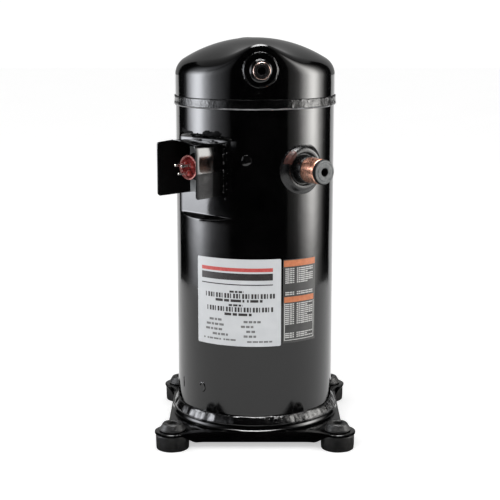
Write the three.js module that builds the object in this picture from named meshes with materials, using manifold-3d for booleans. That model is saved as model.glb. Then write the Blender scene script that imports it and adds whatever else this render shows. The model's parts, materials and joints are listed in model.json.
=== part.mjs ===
// Hermetic scroll compressor, built up from the separate pieces of the real machine.
// Millimetres, +Z up. The shell axis is the Z axis, the feet stand on z = 0 and the front
// (nameplate side) faces -Y. Azimuths are measured from the front, positive toward +X.

import * as THREE from 'three';
import { mergeVertices } from 'three/addons/utils/BufferGeometryUtils.js';
import Module from 'manifold-3d';

const wasm = await Module();
wasm.setup();

// ---------------------------------------------------------------------------
// Driving dimensions
// ---------------------------------------------------------------------------
const DEG = Math.PI / 180;
const GAP = 0.3;            // running or assembly clearance between neighbours
const ROUND = 48;           // segments of the shell and what wraps it, all in phase
const INNER = 28;           // segments of the round pieces inside the shell
const FINE = 20;            // segments of small round pieces
const PIN_ROUND = 10;       // segments of pins and bolts
const WELD_TOLERANCE = 1e-4;

// Pressure shell
const SHELL_R = 92.7;
const SHELL_WALL = 3.5;
const SHELL_BORE_R = SHELL_R - SHELL_WALL;
const SHELL_BOTTOM = 31;
const SHELL_TOP = 393;

// Top cap: torispherical head on a short skirt, with a raised nose above the discharge port
const CAP_R = 93.1;
const CAP_BOTTOM = 396.6;
const CAP_APEX = 466.3;
const CAP_CROWN_R = 156;
const CAP_KNUCKLE_R = 22;
const NOSE_RISE = 30;
const NOSE_START_R = 28;
const NOSE_POWER = 3;
const NOSE_HALF_WIDTH = 34;
const NOSE_WALL_LOW = 413;
const NOSE_WALL_HIGH = 431;

// Weld beads
const UPPER_BEAD = { inner: 93.25, outer: 94.9, bottom: 389, top: 401 };
const LOWER_BEAD = { inner: 92.9, outer: 97.8, bottom: 28, top: 36.6 };

// Base plate, feet and grommets
const FOOT_PITCH = 190.5;
const FOOT = FOOT_PITCH / 2;
const EAR_R = 20.7;
const EAR_HOLE_R = 9.3;
const PLATE_TOP = 21.3;
const PLATE_T = 3;
const PLATE_SIDE = 101.5;
const PLATE_SIDE_HALF = 56;
const SKIRT_HALF = 64;
const COLLAR_R = 90.5;
const COLLAR_TOP = 27.6;
const SKIRT_BOTTOM = 8.2;
const GROMMET_R = 19.7;
const GROMMET_TOP = 30.5;
const GROMMET_BORE_R = 5.75;

// Discharge port, on the nose of the cap
const DISCHARGE = { azimuth: 3.6 * DEG, height: 433, flangeR: 19, tubeR: 9.6, boreR: 6.6, reach: 113 };

// Suction port, on the shell
const SUCTION = { azimuth: 35.5 * DEG, height: 322, flangeR: 28.5, tubeR: 14.2, boreR: 12.4, reach: 129 };

// Terminal pad (flat pressed into the shell), fence and hermetic terminal
const PAD_AZIMUTH = -43 * DEG;
const PAD_D = 84;
const PAD_LOW = 266;
const PAD_HIGH = 357;
const FENCE = { low: 291.5, high: 351, half: 30, shift: -1, reach: 127.5, sheet: 1.3, bend: 4 };
const FENCE_MID = (FENCE.low + FENCE.high) / 2;
const TERMINAL = { shift: -12, height: 322, cupR: 14, pinCircleR: 6, pinR: 1.6, pinReach: 115 };

// Labels
const LABEL_T = 0.4;
const NAMEPLATE = { from: -44.8 * DEG, to: 18.5 * DEG, low: 119.7, high: 221 };
const INFO_LABEL = { from: 20 * DEG, to: 48 * DEG, low: 122, high: 219.6 };

// Scroll set
const ORBIT = 5;
const WRAP_T = 4;
const FLANK_GAP = 0.35;
const WRAP_PITCH = 2 * (ORBIT + WRAP_T + FLANK_GAP);
const INVOLUTE_R = WRAP_PITCH / (2 * Math.PI);
const WRAP_START = 2.6;
const WRAP_END = WRAP_START + 5 * Math.PI;
const WRAP_STEPS = 50;
const ORBIT_PLATE_R = 60;
const ORBIT_PLATE_LOW = 348.5;
const ORBIT_PLATE_HIGH = 357.5;
const WRAP_HIGH = 379.5;
const FIXED_LOW = 379.8;
const FIXED_HIGH = 392.5;
const FIXED_R = 88.2;
const FIXED_CAVITY_R = 66;
const SEAL_HIGH = 399;
const KEY_R = 54;
const KEY_WIDTH = 8;
const KEY_LENGTH = 10;
const KEY_DEPTH = 4;

// Housing, shaft and motor
const THRUST_FACE = 345;
const HOUSING_LOW = 337;
const HUB_LOW = 296;
const WELL_R = 30.5;
const WELL_FLOOR = 329.6;
const SHAFT_R = 12.5;
const JOURNAL_R = 16;
const SHAFT_LOW = 80;
const STATOR_LOW = 130;
const STATOR_HIGH = 262;
const STATOR_R = 88.6;
const STATOR_BORE_R = 47;
const SLOTS = 24;
const ROTOR_R = 46.2;
const BOLT_CIRCLE_R = 78;

// ---------------------------------------------------------------------------
// Finishes
// ---------------------------------------------------------------------------
const FINISH = {
  blackPaint: { color: 0x0b0b0d, roughness: 0.22, metalness: 0.1 },
  steel: { color: 0x8d9094, roughness: 0.4, metalness: 0.9 },
  darkSteel: { color: 0x4a4c50, roughness: 0.5, metalness: 0.8 },
  castIron: { color: 0x55575a, roughness: 0.6, metalness: 0.7 },
  copper: { color: 0xb9683f, roughness: 0.3, metalness: 1.0 },
  winding: { color: 0xa8552a, roughness: 0.45, metalness: 0.7 },
  aluminium: { color: 0xb8babd, roughness: 0.4, metalness: 0.9 },
  bronze: { color: 0xa5803f, roughness: 0.4, metalness: 0.9 },
  rubber: { color: 0x1c1c1d, roughness: 0.85, metalness: 0.0 },
  greyPlug: { color: 0x6f7375, roughness: 0.6, metalness: 0.0 },
  glass: { color: 0x7d2a1e, roughness: 0.15, metalness: 0.0 },
  label: { color: 0xe9e9e7, roughness: 0.5, metalness: 0.0 },
  leadBlue: { color: 0x2a3f73, roughness: 0.6, metalness: 0.0 },
  leadYellow: { color: 0xb49a35, roughness: 0.6, metalness: 0.0 },
  leadBlack: { color: 0x202022, roughness: 0.6, metalness: 0.0 },
};

// ---------------------------------------------------------------------------
// Helpers
// ---------------------------------------------------------------------------

// Join coincident vertices and drop the zero-area triangles left at poles.
function weld(geometry) {
  const bare = geometry.clone();
  bare.deleteAttribute('normal');
  bare.deleteAttribute('uv');
  const merged = mergeVertices(bare, WELD_TOLERANCE);
  const index = merged.index.array;
  const kept = [];
  for (let i = 0; i < index.length; i += 3) {
    const [a, b, c] = [index[i], index[i + 1], index[i + 2]];
    if (a !== b && b !== c && c !== a) kept.push(a, b, c);
  }
  merged.setIndex(kept);
  return merged;
}

// three.js geometry -> manifold solid
function solid(geometry) {
  const welded = weld(geometry);
  return new wasm.Manifold(new wasm.Mesh({
    numProp: 3,
    vertProperties: new Float32Array(welded.attributes.position.array),
    triVerts: new Uint32Array(welded.index.array),
  }));
}

// manifold solid -> three.js geometry
function geometryOf(body) {
  const mesh = body.getMesh();
  const geometry = new THREE.BufferGeometry();
  geometry.setAttribute('position', new THREE.BufferAttribute(new Float32Array(mesh.vertProperties), 3));
  geometry.setIndex(new THREE.BufferAttribute(new Uint32Array(mesh.triVerts), 1));
  return geometry;
}

// Turn a closed [radius, height] profile, listed counter-clockwise, about Z.
function revolve(profile, segments = INNER) {
  const points = profile.map(([r, z]) => new THREE.Vector2(r, z));
  return new THREE.LatheGeometry(points, segments).rotateX(Math.PI / 2);
}

// A ring of rectangular section.
function ring(inner, outer, low, high, segments = INNER) {
  return revolve([[inner, low], [outer, low], [outer, high], [inner, high], [inner, low]], segments);
}

// A solid round bar.
function bar(radius, low, high, segments = FINE) {
  return revolve([[0, low], [radius, low], [radius, high], [0, high]], segments);
}

// An axis-aligned block given by its limits.
function block(x0, x1, y0, y1, z0, z1) {
  const box = new THREE.BoxGeometry(x1 - x0, y1 - y0, z1 - z0);
  return box.translate((x0 + x1) / 2, (y0 + y1) / 2, (z0 + z1) / 2);
}

// Place a geometry drawn in a port's own axes: x sideways, y up from the port's height,
// z outward from the shell axis.
function outward(geometry, azimuth, height) {
  return geometry.rotateX(Math.PI / 2).rotateZ(azimuth).translate(0, 0, height);
}

// Extrude a closed outline along Z between two heights.
function prism(outline, low, high, holes = [], curveSegments = 5) {
  const shape = outline instanceof THREE.Shape ? outline : new THREE.Shape(outline);
  shape.holes.push(...holes);
  const settings = { depth: high - low, bevelEnabled: false, curveSegments };
  return new THREE.ExtrudeGeometry(shape, settings).translate(0, 0, low);
}

const union = (...bodies) => bodies.reduce((whole, next) => whole.add(next));
const cut = (body, ...tools) => tools.reduce((rest, tool) => rest.subtract(tool), body);

const group = new THREE.Group();
group.name = 'scroll_compressor';

// Add one named piece. Accepts a manifold solid or a three.js geometry.
function add(name, shape, finish) {
  const geometry = shape instanceof THREE.BufferGeometry ? weld(shape) : geometryOf(shape);
  geometry.computeVertexNormals();
  const mesh = new THREE.Mesh(geometry, new THREE.MeshStandardMaterial(finish));
  mesh.name = name;
  group.add(mesh);
}

// Space outside the plane of the terminal pad, used to keep pieces clear of it.
function beyondPad(distance, low, high) {
  const reach = 60;
  const slab = block(-reach, reach, low - FENCE_MID, high - FENCE_MID, distance, distance + reach);
  return solid(outward(slab, PAD_AZIMUTH, FENCE_MID));
}

// ---------------------------------------------------------------------------
// Pressure shell
// ---------------------------------------------------------------------------

// The centre shell is a tube with a flat pad pressed into it for the terminal.
function centerShell() {
  const tube = solid(ring(SHELL_BORE_R, SHELL_R, SHELL_BOTTOM, SHELL_TOP, ROUND));
  const core = solid(bar(SHELL_R - GAP, SHELL_BOTTOM, SHELL_TOP, ROUND));
  const padBack = beyondPad(PAD_D - SHELL_WALL, PAD_LOW - SHELL_WALL, PAD_HIGH + SHELL_WALL).intersect(core);
  const padFace = beyondPad(PAD_D, PAD_LOW, PAD_HIGH);
  const suctionHole = solid(outward(bar(SUCTION.tubeR + GAP, PAD_D - 10, SHELL_R + 10), SUCTION.azimuth, SUCTION.height));
  const terminalBore = bar(TERMINAL.cupR + GAP, PAD_D - 10, PAD_D + 10).translate(TERMINAL.shift, 0, 0);
  const terminalHole = solid(outward(terminalBore, PAD_AZIMUTH, TERMINAL.height));
  return cut(tube.add(padBack), padFace, suctionHole, terminalHole);
}
add('center_shell', centerShell(), FINISH.blackPaint);

// Points of a torispherical head from the top of its wall to the apex on the axis.
function headProfile(wallR, knuckleR, crownR) {
  const crownZ = CAP_APEX - CAP_CROWN_R;
  const knuckleX = CAP_R - CAP_KNUCKLE_R;
  const centres = CAP_CROWN_R - CAP_KNUCKLE_R;
  const knuckleZ = crownZ + Math.sqrt(centres ** 2 - knuckleX ** 2);
  const tangent = Math.acos(knuckleX / centres);
  const points = [[wallR, NOSE_WALL_LOW]];
  const knuckleSteps = 3;
  for (let i = 0; i <= knuckleSteps; i += 1) {
    const angle = (tangent * i) / knuckleSteps;
    points.push([knuckleX + knuckleR * Math.cos(angle), knuckleZ + knuckleR * Math.sin(angle)]);
  }
  const crownSteps = 4;
  for (let i = 1; i <= crownSteps; i += 1) {
    const angle = tangent + ((Math.PI / 2 - tangent) * i) / crownSteps;
    points.push([Math.max(0, crownR * Math.cos(angle)), crownZ + crownR * Math.sin(angle)]);
  }
  points[points.length - 1][0] = 0;
  return points;
}

// Lift the front of the head into the nose that carries the discharge port.
function pressNose(geometry) {
  const position = geometry.attributes.position;
  const centreX = CAP_R * Math.sin(DISCHARGE.azimuth);
  for (let i = 0; i < position.count; i += 1) {
    const [x, y, z] = [position.getX(i), position.getY(i), position.getZ(i)];
    const r = Math.hypot(x, y);
    const forward = THREE.MathUtils.clamp((r - NOSE_START_R) / (CAP_R - NOSE_START_R), 0, 1);
    const across = Math.exp(-(((x - centreX) / NOSE_HALF_WIDTH) ** 2));
    const upWall = THREE.MathUtils.smoothstep(z, NOSE_WALL_LOW, NOSE_WALL_HIGH);
    const front = THREE.MathUtils.smoothstep(-y, 0, NOSE_START_R);
    position.setZ(i, z + NOSE_RISE * forward ** NOSE_POWER * across * upWall * front);
  }
  return geometry;
}

function topCap() {
  const outer = headProfile(CAP_R, CAP_KNUCKLE_R, CAP_CROWN_R);
  const inner = headProfile(CAP_R - SHELL_WALL, CAP_KNUCKLE_R - SHELL_WALL, CAP_CROWN_R - SHELL_WALL);
  const bore = CAP_R - SHELL_WALL;
  const below = CAP_BOTTOM - SHELL_WALL;
  const skin = pressNose(revolve([[0, CAP_BOTTOM], [CAP_R, CAP_BOTTOM], ...outer], ROUND));
  const hollow = pressNose(revolve([[0, below], [bore, below], ...inner], ROUND));
  const port = outward(bar(DISCHARGE.tubeR + GAP, CAP_R - 20, CAP_R + 10), DISCHARGE.azimuth, DISCHARGE.height);
  return cut(solid(skin), solid(hollow), solid(port));
}
add('top_cap', topCap(), FINISH.blackPaint);

add('bottom_cap', revolve([
  [0, 12], [50, 13], [75, 17.5], [86, 25], [88.8, 33], [88.8, 44],
  [85.3, 44], [85.3, 34], [83, 27.5], [73.5, 20.8], [50, 16.5], [0, 15.5],
]), FINISH.blackPaint);

// Girth welds: rounded beads laid around the two seams.
function bead({ inner, outer, bottom, top }) {
  const mid = (bottom + top) / 2;
  const crown = inner + (outer - inner) * 0.75;
  return revolve([
    [inner, bottom], [crown, bottom], [outer, mid - 1], [outer, mid + 1], [crown, top], [inner, top], [inner, bottom],
  ], ROUND);
}
add('upper_weld_bead', bead(UPPER_BEAD), FINISH.blackPaint);
add('lower_weld_bead', revolve([
  [LOWER_BEAD.inner, LOWER_BEAD.bottom], [LOWER_BEAD.outer, LOWER_BEAD.bottom], [LOWER_BEAD.outer, 30.4],
  [96.3, 33.6], [93.8, 36.2], [LOWER_BEAD.inner, LOWER_BEAD.top], [LOWER_BEAD.inner, LOWER_BEAD.bottom],
], ROUND), FINISH.blackPaint);

// ---------------------------------------------------------------------------
// Base plate and grommets
// ---------------------------------------------------------------------------
const CORNERS = [
  ['front_left', -1, -1],
  ['front_right', 1, -1],
  ['rear_right', 1, 1],
  ['rear_left', -1, 1],
];

// Square plate with four round ears, waisted between them.
function plateOutline() {
  const shape = new THREE.Shape();
  const flare = 14;
  const quarter = [0, 90, 180, 270];
  const place = (x, y, turn) => {
    const angle = turn * DEG;
    return [x * Math.cos(angle) - y * Math.sin(angle), x * Math.sin(angle) + y * Math.cos(angle)];
  };
  const earIn = FOOT - EAR_R * Math.sin(50 * DEG);
  const earOut = FOOT + EAR_R * Math.cos(50 * DEG);
  shape.moveTo(...place(-PLATE_SIDE_HALF, -PLATE_SIDE, 0));
  for (const turn of quarter) {
    shape.lineTo(...place(PLATE_SIDE_HALF, -PLATE_SIDE, turn));
    shape.quadraticCurveTo(...place(PLATE_SIDE_HALF + flare, -PLATE_SIDE, turn), ...place(earIn, -earOut, turn));
    const [cx, cy] = place(FOOT, -FOOT, turn);
    shape.absarc(cx, cy, EAR_R, (220 + turn) * DEG, (410 + turn) * DEG, false);
    shape.quadraticCurveTo(
      ...place(PLATE_SIDE, -PLATE_SIDE_HALF - flare, turn),
      ...place(PLATE_SIDE, -PLATE_SIDE_HALF, turn),
    );
  }
  return shape;
}

function mountingBase() {
  const plateLow = PLATE_TOP - PLATE_T;
  const collarOut = 98.5;
  const plate = solid(prism(plateOutline(), plateLow, PLATE_TOP));
  const collar = solid(revolve([
    [0, plateLow], [collarOut + 2, plateLow], [collarOut, PLATE_TOP + 0.2], [97.7, COLLAR_TOP], [0, COLLAR_TOP],
  ]));
  const opening = solid(bar(COLLAR_R, 0, COLLAR_TOP + 5, ROUND));
  const recess = solid(revolve([[0, 0], [97, 0], [97, plateLow], [94.5, COLLAR_TOP - PLATE_T], [0, COLLAR_TOP - PLATE_T]]));
  const holes = CORNERS.map(([, sx, sy]) => (
    solid(bar(EAR_HOLE_R, plateLow - 5, PLATE_TOP + 5).translate(sx * FOOT, sy * FOOT, 0))
  ));
  const skirts = [0, 90, 180, 270].map((turn) => solid(
    block(-SKIRT_HALF, SKIRT_HALF, -PLATE_SIDE, -PLATE_SIDE + PLATE_T, SKIRT_BOTTOM, plateLow + 0.5)
      .rotateZ(turn * DEG),
  ));
  return union(cut(plate.add(collar), opening, recess, ...holes), ...skirts);
}
add('mounting_base', mountingBase(), FINISH.blackPaint);

// Rubber grommet: a puck below the plate, a neck through it and a conical head above.
for (const [corner, sx, sy] of CORNERS) {
  const plateLow = PLATE_TOP - PLATE_T;
  const neck = EAR_HOLE_R - GAP;
  const body = revolve([
    [GROMMET_BORE_R, 0], [18.9, 0], [GROMMET_R, plateLow - 2], [19.1, plateLow - GAP],
    [neck, plateLow - GAP], [neck, PLATE_TOP + GAP], [15, PLATE_TOP + GAP], [14.6, 24], [9.8, GROMMET_TOP],
    [GROMMET_BORE_R, GROMMET_TOP], [GROMMET_BORE_R, 0],
  ], FINE);
  add(`grommet_${corner}`, body.translate(sx * FOOT, sy * FOOT, 0), FINISH.rubber);
}

// ---------------------------------------------------------------------------
// Ports
// ---------------------------------------------------------------------------

// Shell envelope used to trim the feet of the fittings to the round wall.
const capEnvelope = solid(bar(CAP_R + 0.15, NOSE_WALL_LOW - 20, CAP_APEX + 20, ROUND));
const shellEnvelope = solid(bar(SHELL_R + 0.15, SHELL_BOTTOM, SHELL_TOP, ROUND));

// Low flange welded to the cap, with a socket for the discharge tube.
function dischargeFitting() {
  const { azimuth, height, flangeR, tubeR } = DISCHARGE;
  const flange = outward(revolve([
    [tubeR + GAP, CAP_R - 6], [flangeR, CAP_R - 6], [flangeR, CAP_R + 0.8], [flangeR - 2, CAP_R + 2],
    [tubeR + 3, CAP_R + 2.4], [tubeR + 2, CAP_R + 4.5], [tubeR + GAP, CAP_R + 4.5], [tubeR + GAP, CAP_R - 6],
  ], FINE), azimuth, height);
  return cut(solid(flange), capEnvelope);
}
add('discharge_fitting', dischargeFitting(), FINISH.blackPaint);

function tubeStub({ azimuth, height, tubeR, boreR, reach }, start) {
  return outward(revolve([
    [boreR, start], [tubeR, start], [tubeR, reach - 1], [tubeR - 0.6, reach], [boreR, reach], [boreR, start],
  ], FINE), azimuth, height);
}
add('discharge_stub', tubeStub(DISCHARGE, 84), FINISH.copper);

// Rubber shipping plug pushed into a stub: a spigot, a thin flange and a blind centre hole.
function shippingPlug({ azimuth, height, boreR, reach }, flangeR, flangeT, holeR) {
  const spigotR = boreR - GAP;
  const start = reach - 14;
  const face = reach + GAP + flangeT;
  return outward(revolve([
    [0, start], [spigotR - 1, start], [spigotR, start + 2], [spigotR, reach + GAP], [flangeR, reach + GAP],
    [flangeR, face - 0.6], [flangeR - 0.6, face], [holeR, face], [holeR, face - 8], [0, face - 8],
  ], FINE), azimuth, height);
}
add('discharge_plug', shippingPlug(DISCHARGE, 7.6, 1.2, 4.6), FINISH.rubber);

// Drawn ring, seat ring and socket for the suction tube.
function suctionFitting() {
  const { azimuth, height, flangeR, tubeR } = SUCTION;
  const body = outward(revolve([
    [tubeR + GAP, SHELL_R - 16], [flangeR, SHELL_R - 16], [flangeR, SHELL_R - 1.2], [24.4, SHELL_R + 0.6],
    [23.2, SHELL_R + 3.2], [18, SHELL_R + 4], [17, SHELL_R + 1.5], [tubeR + GAP, SHELL_R + 1.5],
    [tubeR + GAP, SHELL_R - 16],
  ], FINE), azimuth, height);
  return cut(solid(body), shellEnvelope);
}
add('suction_fitting', suctionFitting(), FINISH.blackPaint);
add('suction_stub', tubeStub(SUCTION, 84), FINISH.copper);
add('suction_plug', shippingPlug(SUCTION, 13.8, 3, 4.4), FINISH.greyPlug);

// ---------------------------------------------------------------------------
// Electrical terminal
// ---------------------------------------------------------------------------

// Open sheet-metal fence: two side walls and a roof, cut back on the left, open below.
function terminalFence() {
  const { low, high, half, shift, reach, sheet, bend } = FENCE;
  const [left, right] = [shift - half, shift + half];
  const [bottom, top] = [low - FENCE_MID, high - FENCE_MID];
  const band = (x0, x1, y1, radius) => {
    const outline = new THREE.Shape();
    outline.moveTo(x0, bottom);
    outline.lineTo(x1, bottom);
    outline.lineTo(x1, y1 - radius);
    outline.absarc(x1 - radius, y1 - radius, radius, 0, 90 * DEG, false);
    outline.absarc(x0 + radius, y1 - radius, radius, 90 * DEG, 180 * DEG, false);
    outline.closePath();
    return outline;
  };
  const root = PAD_D + GAP;
  const outer = solid(prism(band(left, right, top, bend), root, reach, [], 4));
  const innerBand = prism(band(left + sheet, right - sheet, top - sheet, bend - sheet), root - 5, reach + 5, [], 4);
  const inner = solid(innerBand).add(
    solid(block(left + sheet, right - sheet, bottom - 5, bottom + 1, root - 5, reach + 5)),
  );
  const notch = prism([
    new THREE.Vector2(left + sheet, reach + 5), new THREE.Vector2(left + sheet, reach - 21),
    new THREE.Vector2(left + 16, reach - 21), new THREE.Vector2(right - sheet, reach),
    new THREE.Vector2(right - sheet, reach + 5),
  ].reverse(), 0, 12).rotateX(Math.PI / 2).translate(0, top + 5, 0);
  const corner = (x0, x1) => solid(block(x0, x1, bottom - 1, bottom + 3, reach - 3, reach + 1))
    .subtract(solid(new THREE.CylinderGeometry(3, 3, x1 - x0 + 2, FINE).rotateZ(Math.PI / 2)
      .translate((x0 + x1) / 2, bottom + 3, reach - 3)));
  const local = cut(outer, inner, solid(notch), corner(left - 1, left + 3), corner(right - 3, right + 1));
  return solid(outward(geometryOf(local), PAD_AZIMUTH, FENCE_MID));
}
add('terminal_fence', terminalFence(), FINISH.blackPaint);

const terminalPlace = (geometry) => outward(geometry.translate(TERMINAL.shift, 0, 0), PAD_AZIMUTH, TERMINAL.height);
const pinSpots = [90, 210, 330].map((angle) => [
  TERMINAL.pinCircleR * Math.cos((angle + 180) * DEG),
  TERMINAL.pinCircleR * Math.sin((angle + 180) * DEG),
]);
const SEAL_R = 3.6;
const CUP_FACE = PAD_D + 15;

// Steel cup welded into the pad, open toward the inside, with a hole for each pin.
function terminalCup() {
  const { cupR } = TERMINAL;
  const cup = solid(revolve([
    [0, CUP_FACE - 3.5], [cupR - 3, CUP_FACE - 3.5], [cupR - 3, PAD_D - 7], [cupR, PAD_D - 7], [cupR, PAD_D + GAP],
    [cupR + 2, PAD_D + GAP], [cupR + 2, PAD_D + 1.8], [cupR, PAD_D + 2.6], [cupR, CUP_FACE - 1],
    [cupR - 1, CUP_FACE], [0, CUP_FACE],
  ], FINE));
  const holes = pinSpots.map(([x, y]) => solid(bar(SEAL_R + 0.05, PAD_D, PAD_D + 20, PIN_ROUND).translate(x, y, 0)));
  return solid(terminalPlace(geometryOf(cut(cup, ...holes))));
}
add('terminal_cup', terminalCup(), FINISH.glass);

pinSpots.forEach(([x, y], i) => {
  const { pinR, pinReach } = TERMINAL;
  const seal = revolve([
    [pinR + 0.05, CUP_FACE - 3.5], [SEAL_R, CUP_FACE - 3.5], [SEAL_R, CUP_FACE + 0.4],
    [pinR + 0.8, CUP_FACE + 1.6], [pinR + 0.05, CUP_FACE + 1.6], [pinR + 0.05, CUP_FACE - 3.5],
  ], PIN_ROUND);
  const pin = revolve([
    [0, PAD_D - 8], [pinR, PAD_D - 8], [pinR, pinReach - 1], [pinR - 0.5, pinReach], [0, pinReach],
  ], PIN_ROUND);
  add(`terminal_seal_${i + 1}`, terminalPlace(seal.translate(x, y, 0)), FINISH.glass);
  add(`terminal_pin_${i + 1}`, terminalPlace(pin.translate(x, y, 0)), FINISH.steel);
});

// ---------------------------------------------------------------------------
// Labels
// ---------------------------------------------------------------------------

// A thin sheet wrapped on the shell between two azimuths and two heights.
function wrappedLabel({ from, to, low, high }) {
  const sheet = solid(ring(SHELL_R + 0.1, SHELL_R + 0.1 + LABEL_T, low, high, ROUND));
  const reach = SHELL_R * 1.4;
  const at = (azimuth) => new THREE.Vector2(reach * Math.sin(azimuth), -reach * Math.cos(azimuth));
  const wedge = prism([new THREE.Vector2(0, 0), at(from), at((from + to) / 2), at(to)], low - 1, high + 1);
  return sheet.intersect(solid(wedge));
}
add('nameplate', wrappedLabel(NAMEPLATE), FINISH.label);
add('info_label', wrappedLabel(INFO_LABEL), FINISH.label);

// ---------------------------------------------------------------------------
// Scroll set
// ---------------------------------------------------------------------------

// Outline of a wrap of constant thickness about an involute of a circle.
function wrapOutline() {
  const side = (offset, i) => {
    const phi = WRAP_START + ((WRAP_END - WRAP_START) * i) / WRAP_STEPS;
    const length = INVOLUTE_R * phi + offset;
    return new THREE.Vector2(
      INVOLUTE_R * Math.cos(phi) + length * Math.sin(phi),
      INVOLUTE_R * Math.sin(phi) - length * Math.cos(phi),
    );
  };
  const steps = Array.from({ length: WRAP_STEPS + 1 }, (_, i) => i);
  const outside = steps.map((i) => side(WRAP_T / 2, i));
  const inside = steps.map((i) => side(-WRAP_T / 2, i));
  return [...outside, ...inside.reverse()];
}

// Base plate with a hub below, slots for the coupling keys and the wrap on top.
function orbitingScroll() {
  const plate = solid(revolve([
    [0, ORBIT_PLATE_LOW], [20.3, ORBIT_PLATE_LOW], [20.3, 330.5], [24, 330.5], [24, ORBIT_PLATE_LOW],
    [ORBIT_PLATE_R, ORBIT_PLATE_LOW], [ORBIT_PLATE_R, ORBIT_PLATE_HIGH], [0, ORBIT_PLATE_HIGH],
  ]));
  const wrap = solid(prism(wrapOutline(), ORBIT_PLATE_HIGH - 1, WRAP_HIGH));
  const half = KEY_WIDTH / 2 + 0.1;
  const inner = KEY_R - KEY_LENGTH / 2 - ORBIT - 0.5;
  const slot = (sign) => solid(
    block(-half, half, Math.min(sign * inner, sign * 70), Math.max(sign * inner, sign * 70),
      ORBIT_PLATE_LOW - 1, ORBIT_PLATE_LOW + KEY_DEPTH + GAP),
  );
  return cut(union(plate, wrap), slot(1), slot(-1)).translate([ORBIT, 0, 0]);
}
add('orbiting_scroll', orbitingScroll(), FINISH.castIron);

// Fixed scroll: plate, skirt resting on the housing, wrap hanging from the plate, and the
// raised rings that hold the floating seal. A window in the skirt lets suction gas in.
function fixedScroll() {
  const body = solid(revolve([
    [0, FIXED_LOW], [FIXED_CAVITY_R, FIXED_LOW], [FIXED_CAVITY_R, THRUST_FACE + GAP], [FIXED_R, THRUST_FACE + GAP],
    [FIXED_R, FIXED_HIGH], [50, FIXED_HIGH], [50, SEAL_HIGH], [46, SEAL_HIGH], [46, 387], [24, 387],
    [24, SEAL_HIGH], [20, SEAL_HIGH], [20, FIXED_HIGH], [0, FIXED_HIGH],
  ]));
  const wrap = solid(prism(wrapOutline(), ORBIT_PLATE_HIGH + GAP, FIXED_LOW + 1).rotateZ(Math.PI));
  const port = solid(bar(6, FIXED_LOW - 30, FIXED_HIGH + 5));
  const window = solid(block(-16, 16, -100, -60, 362, 376).rotateZ(SUCTION.azimuth));
  const boltHoles = BOLT_SPOTS.map(([x, y]) => solid(revolve([
    [0, 330], [4.4, 330], [4.4, BOLT_SEAT], [7, BOLT_SEAT], [7, 400], [0, 400],
  ], PIN_ROUND).translate(x, y, 0)));
  const padSide = beyondPad(PAD_D - SHELL_WALL - 0.8, PAD_LOW - 10, PAD_HIGH + SHELL_WALL + 1);
  return cut(union(body, wrap), port, window, padSide, ...boltHoles);
}
const BOLT_SEAT = 386;
const BOLT_SPOTS = [0, 90, 180, 270].map((angle) => [
  BOLT_CIRCLE_R * Math.cos(angle * DEG),
  BOLT_CIRCLE_R * Math.sin(angle * DEG),
]);
add('fixed_scroll', fixedScroll(), FINISH.castIron);

// Coupling ring: two keys below slide along X in the housing, two above along Y in the
// orbiting scroll, so the scroll orbits without turning.
function oldhamRing() {
  const [low, high] = [THRUST_FACE + GAP, ORBIT_PLATE_LOW - GAP];
  const half = KEY_WIDTH / 2;
  const [inner, outer] = [KEY_R - KEY_LENGTH / 2, KEY_R + KEY_LENGTH / 2];
  const lower = [1, -1].map((sign) => solid(
    block(Math.min(sign * inner, sign * outer), Math.max(sign * inner, sign * outer), -half, half, low - KEY_DEPTH, low + 1),
  ));
  const upper = [1, -1].map((sign) => solid(
    block(-half, half, Math.min(sign * inner, sign * outer), Math.max(sign * inner, sign * outer), high - 1, high + KEY_DEPTH),
  ));
  return union(solid(ring(48, 60, low, high)), ...lower, ...upper).translate([ORBIT, 0, 0]);
}
add('oldham_ring', oldhamRing(), FINISH.aluminium);

add('thrust_washer', ring(28.5, 44.8, THRUST_FACE + GAP, ORBIT_PLATE_LOW - GAP).translate(ORBIT / 2, 0, 0), FINISH.bronze);
add('floating_seal', revolve([
  [24.4, 387.5], [45.6, 387.5], [45.6, 398], [40, 398], [39, 401.6], [32, 401.6], [31, 398], [24.4, 398], [24.4, 387.5],
]), FINISH.aluminium);

// Separator plate between the low side and the discharge chamber, clamped in the top seam.
add('muffler_plate', revolve([
  [15, 403.5], [68, 403.5], [83, 393.4], [92.4, 393.4], [92.4, 396.4], [84, 396.4], [69.5, 406.5], [15, 406.5], [15, 403.5],
]), FINISH.darkSteel);
add('check_valve_disc', bar(17.5, 406.8, 408), FINISH.steel);

// Cage that limits the lift of the check valve disc: a ring on three posts.
function checkValveStop() {
  const roof = solid(revolve([[6, 411], [24, 411], [24, 413], [6, 413], [6, 411]], FINE));
  const foot = solid(revolve([[19, 406.8], [24, 406.8], [24, 408.2], [19, 408.2], [19, 406.8]], FINE));
  const posts = [0, 120, 240].map((angle) => solid(bar(1.8, 407, 412, PIN_ROUND).translate(21.6, 0, 0).rotateZ(angle * DEG)));
  return union(roof, foot, ...posts);
}
add('check_valve_stop', checkValveStop(), FINISH.steel);
add('relief_valve', revolve([[0, 406.8], [5, 406.8], [5, 415], [3.6, 417], [0, 417]], FINE).translate(38, 34, 0), FINISH.bronze);

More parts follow.
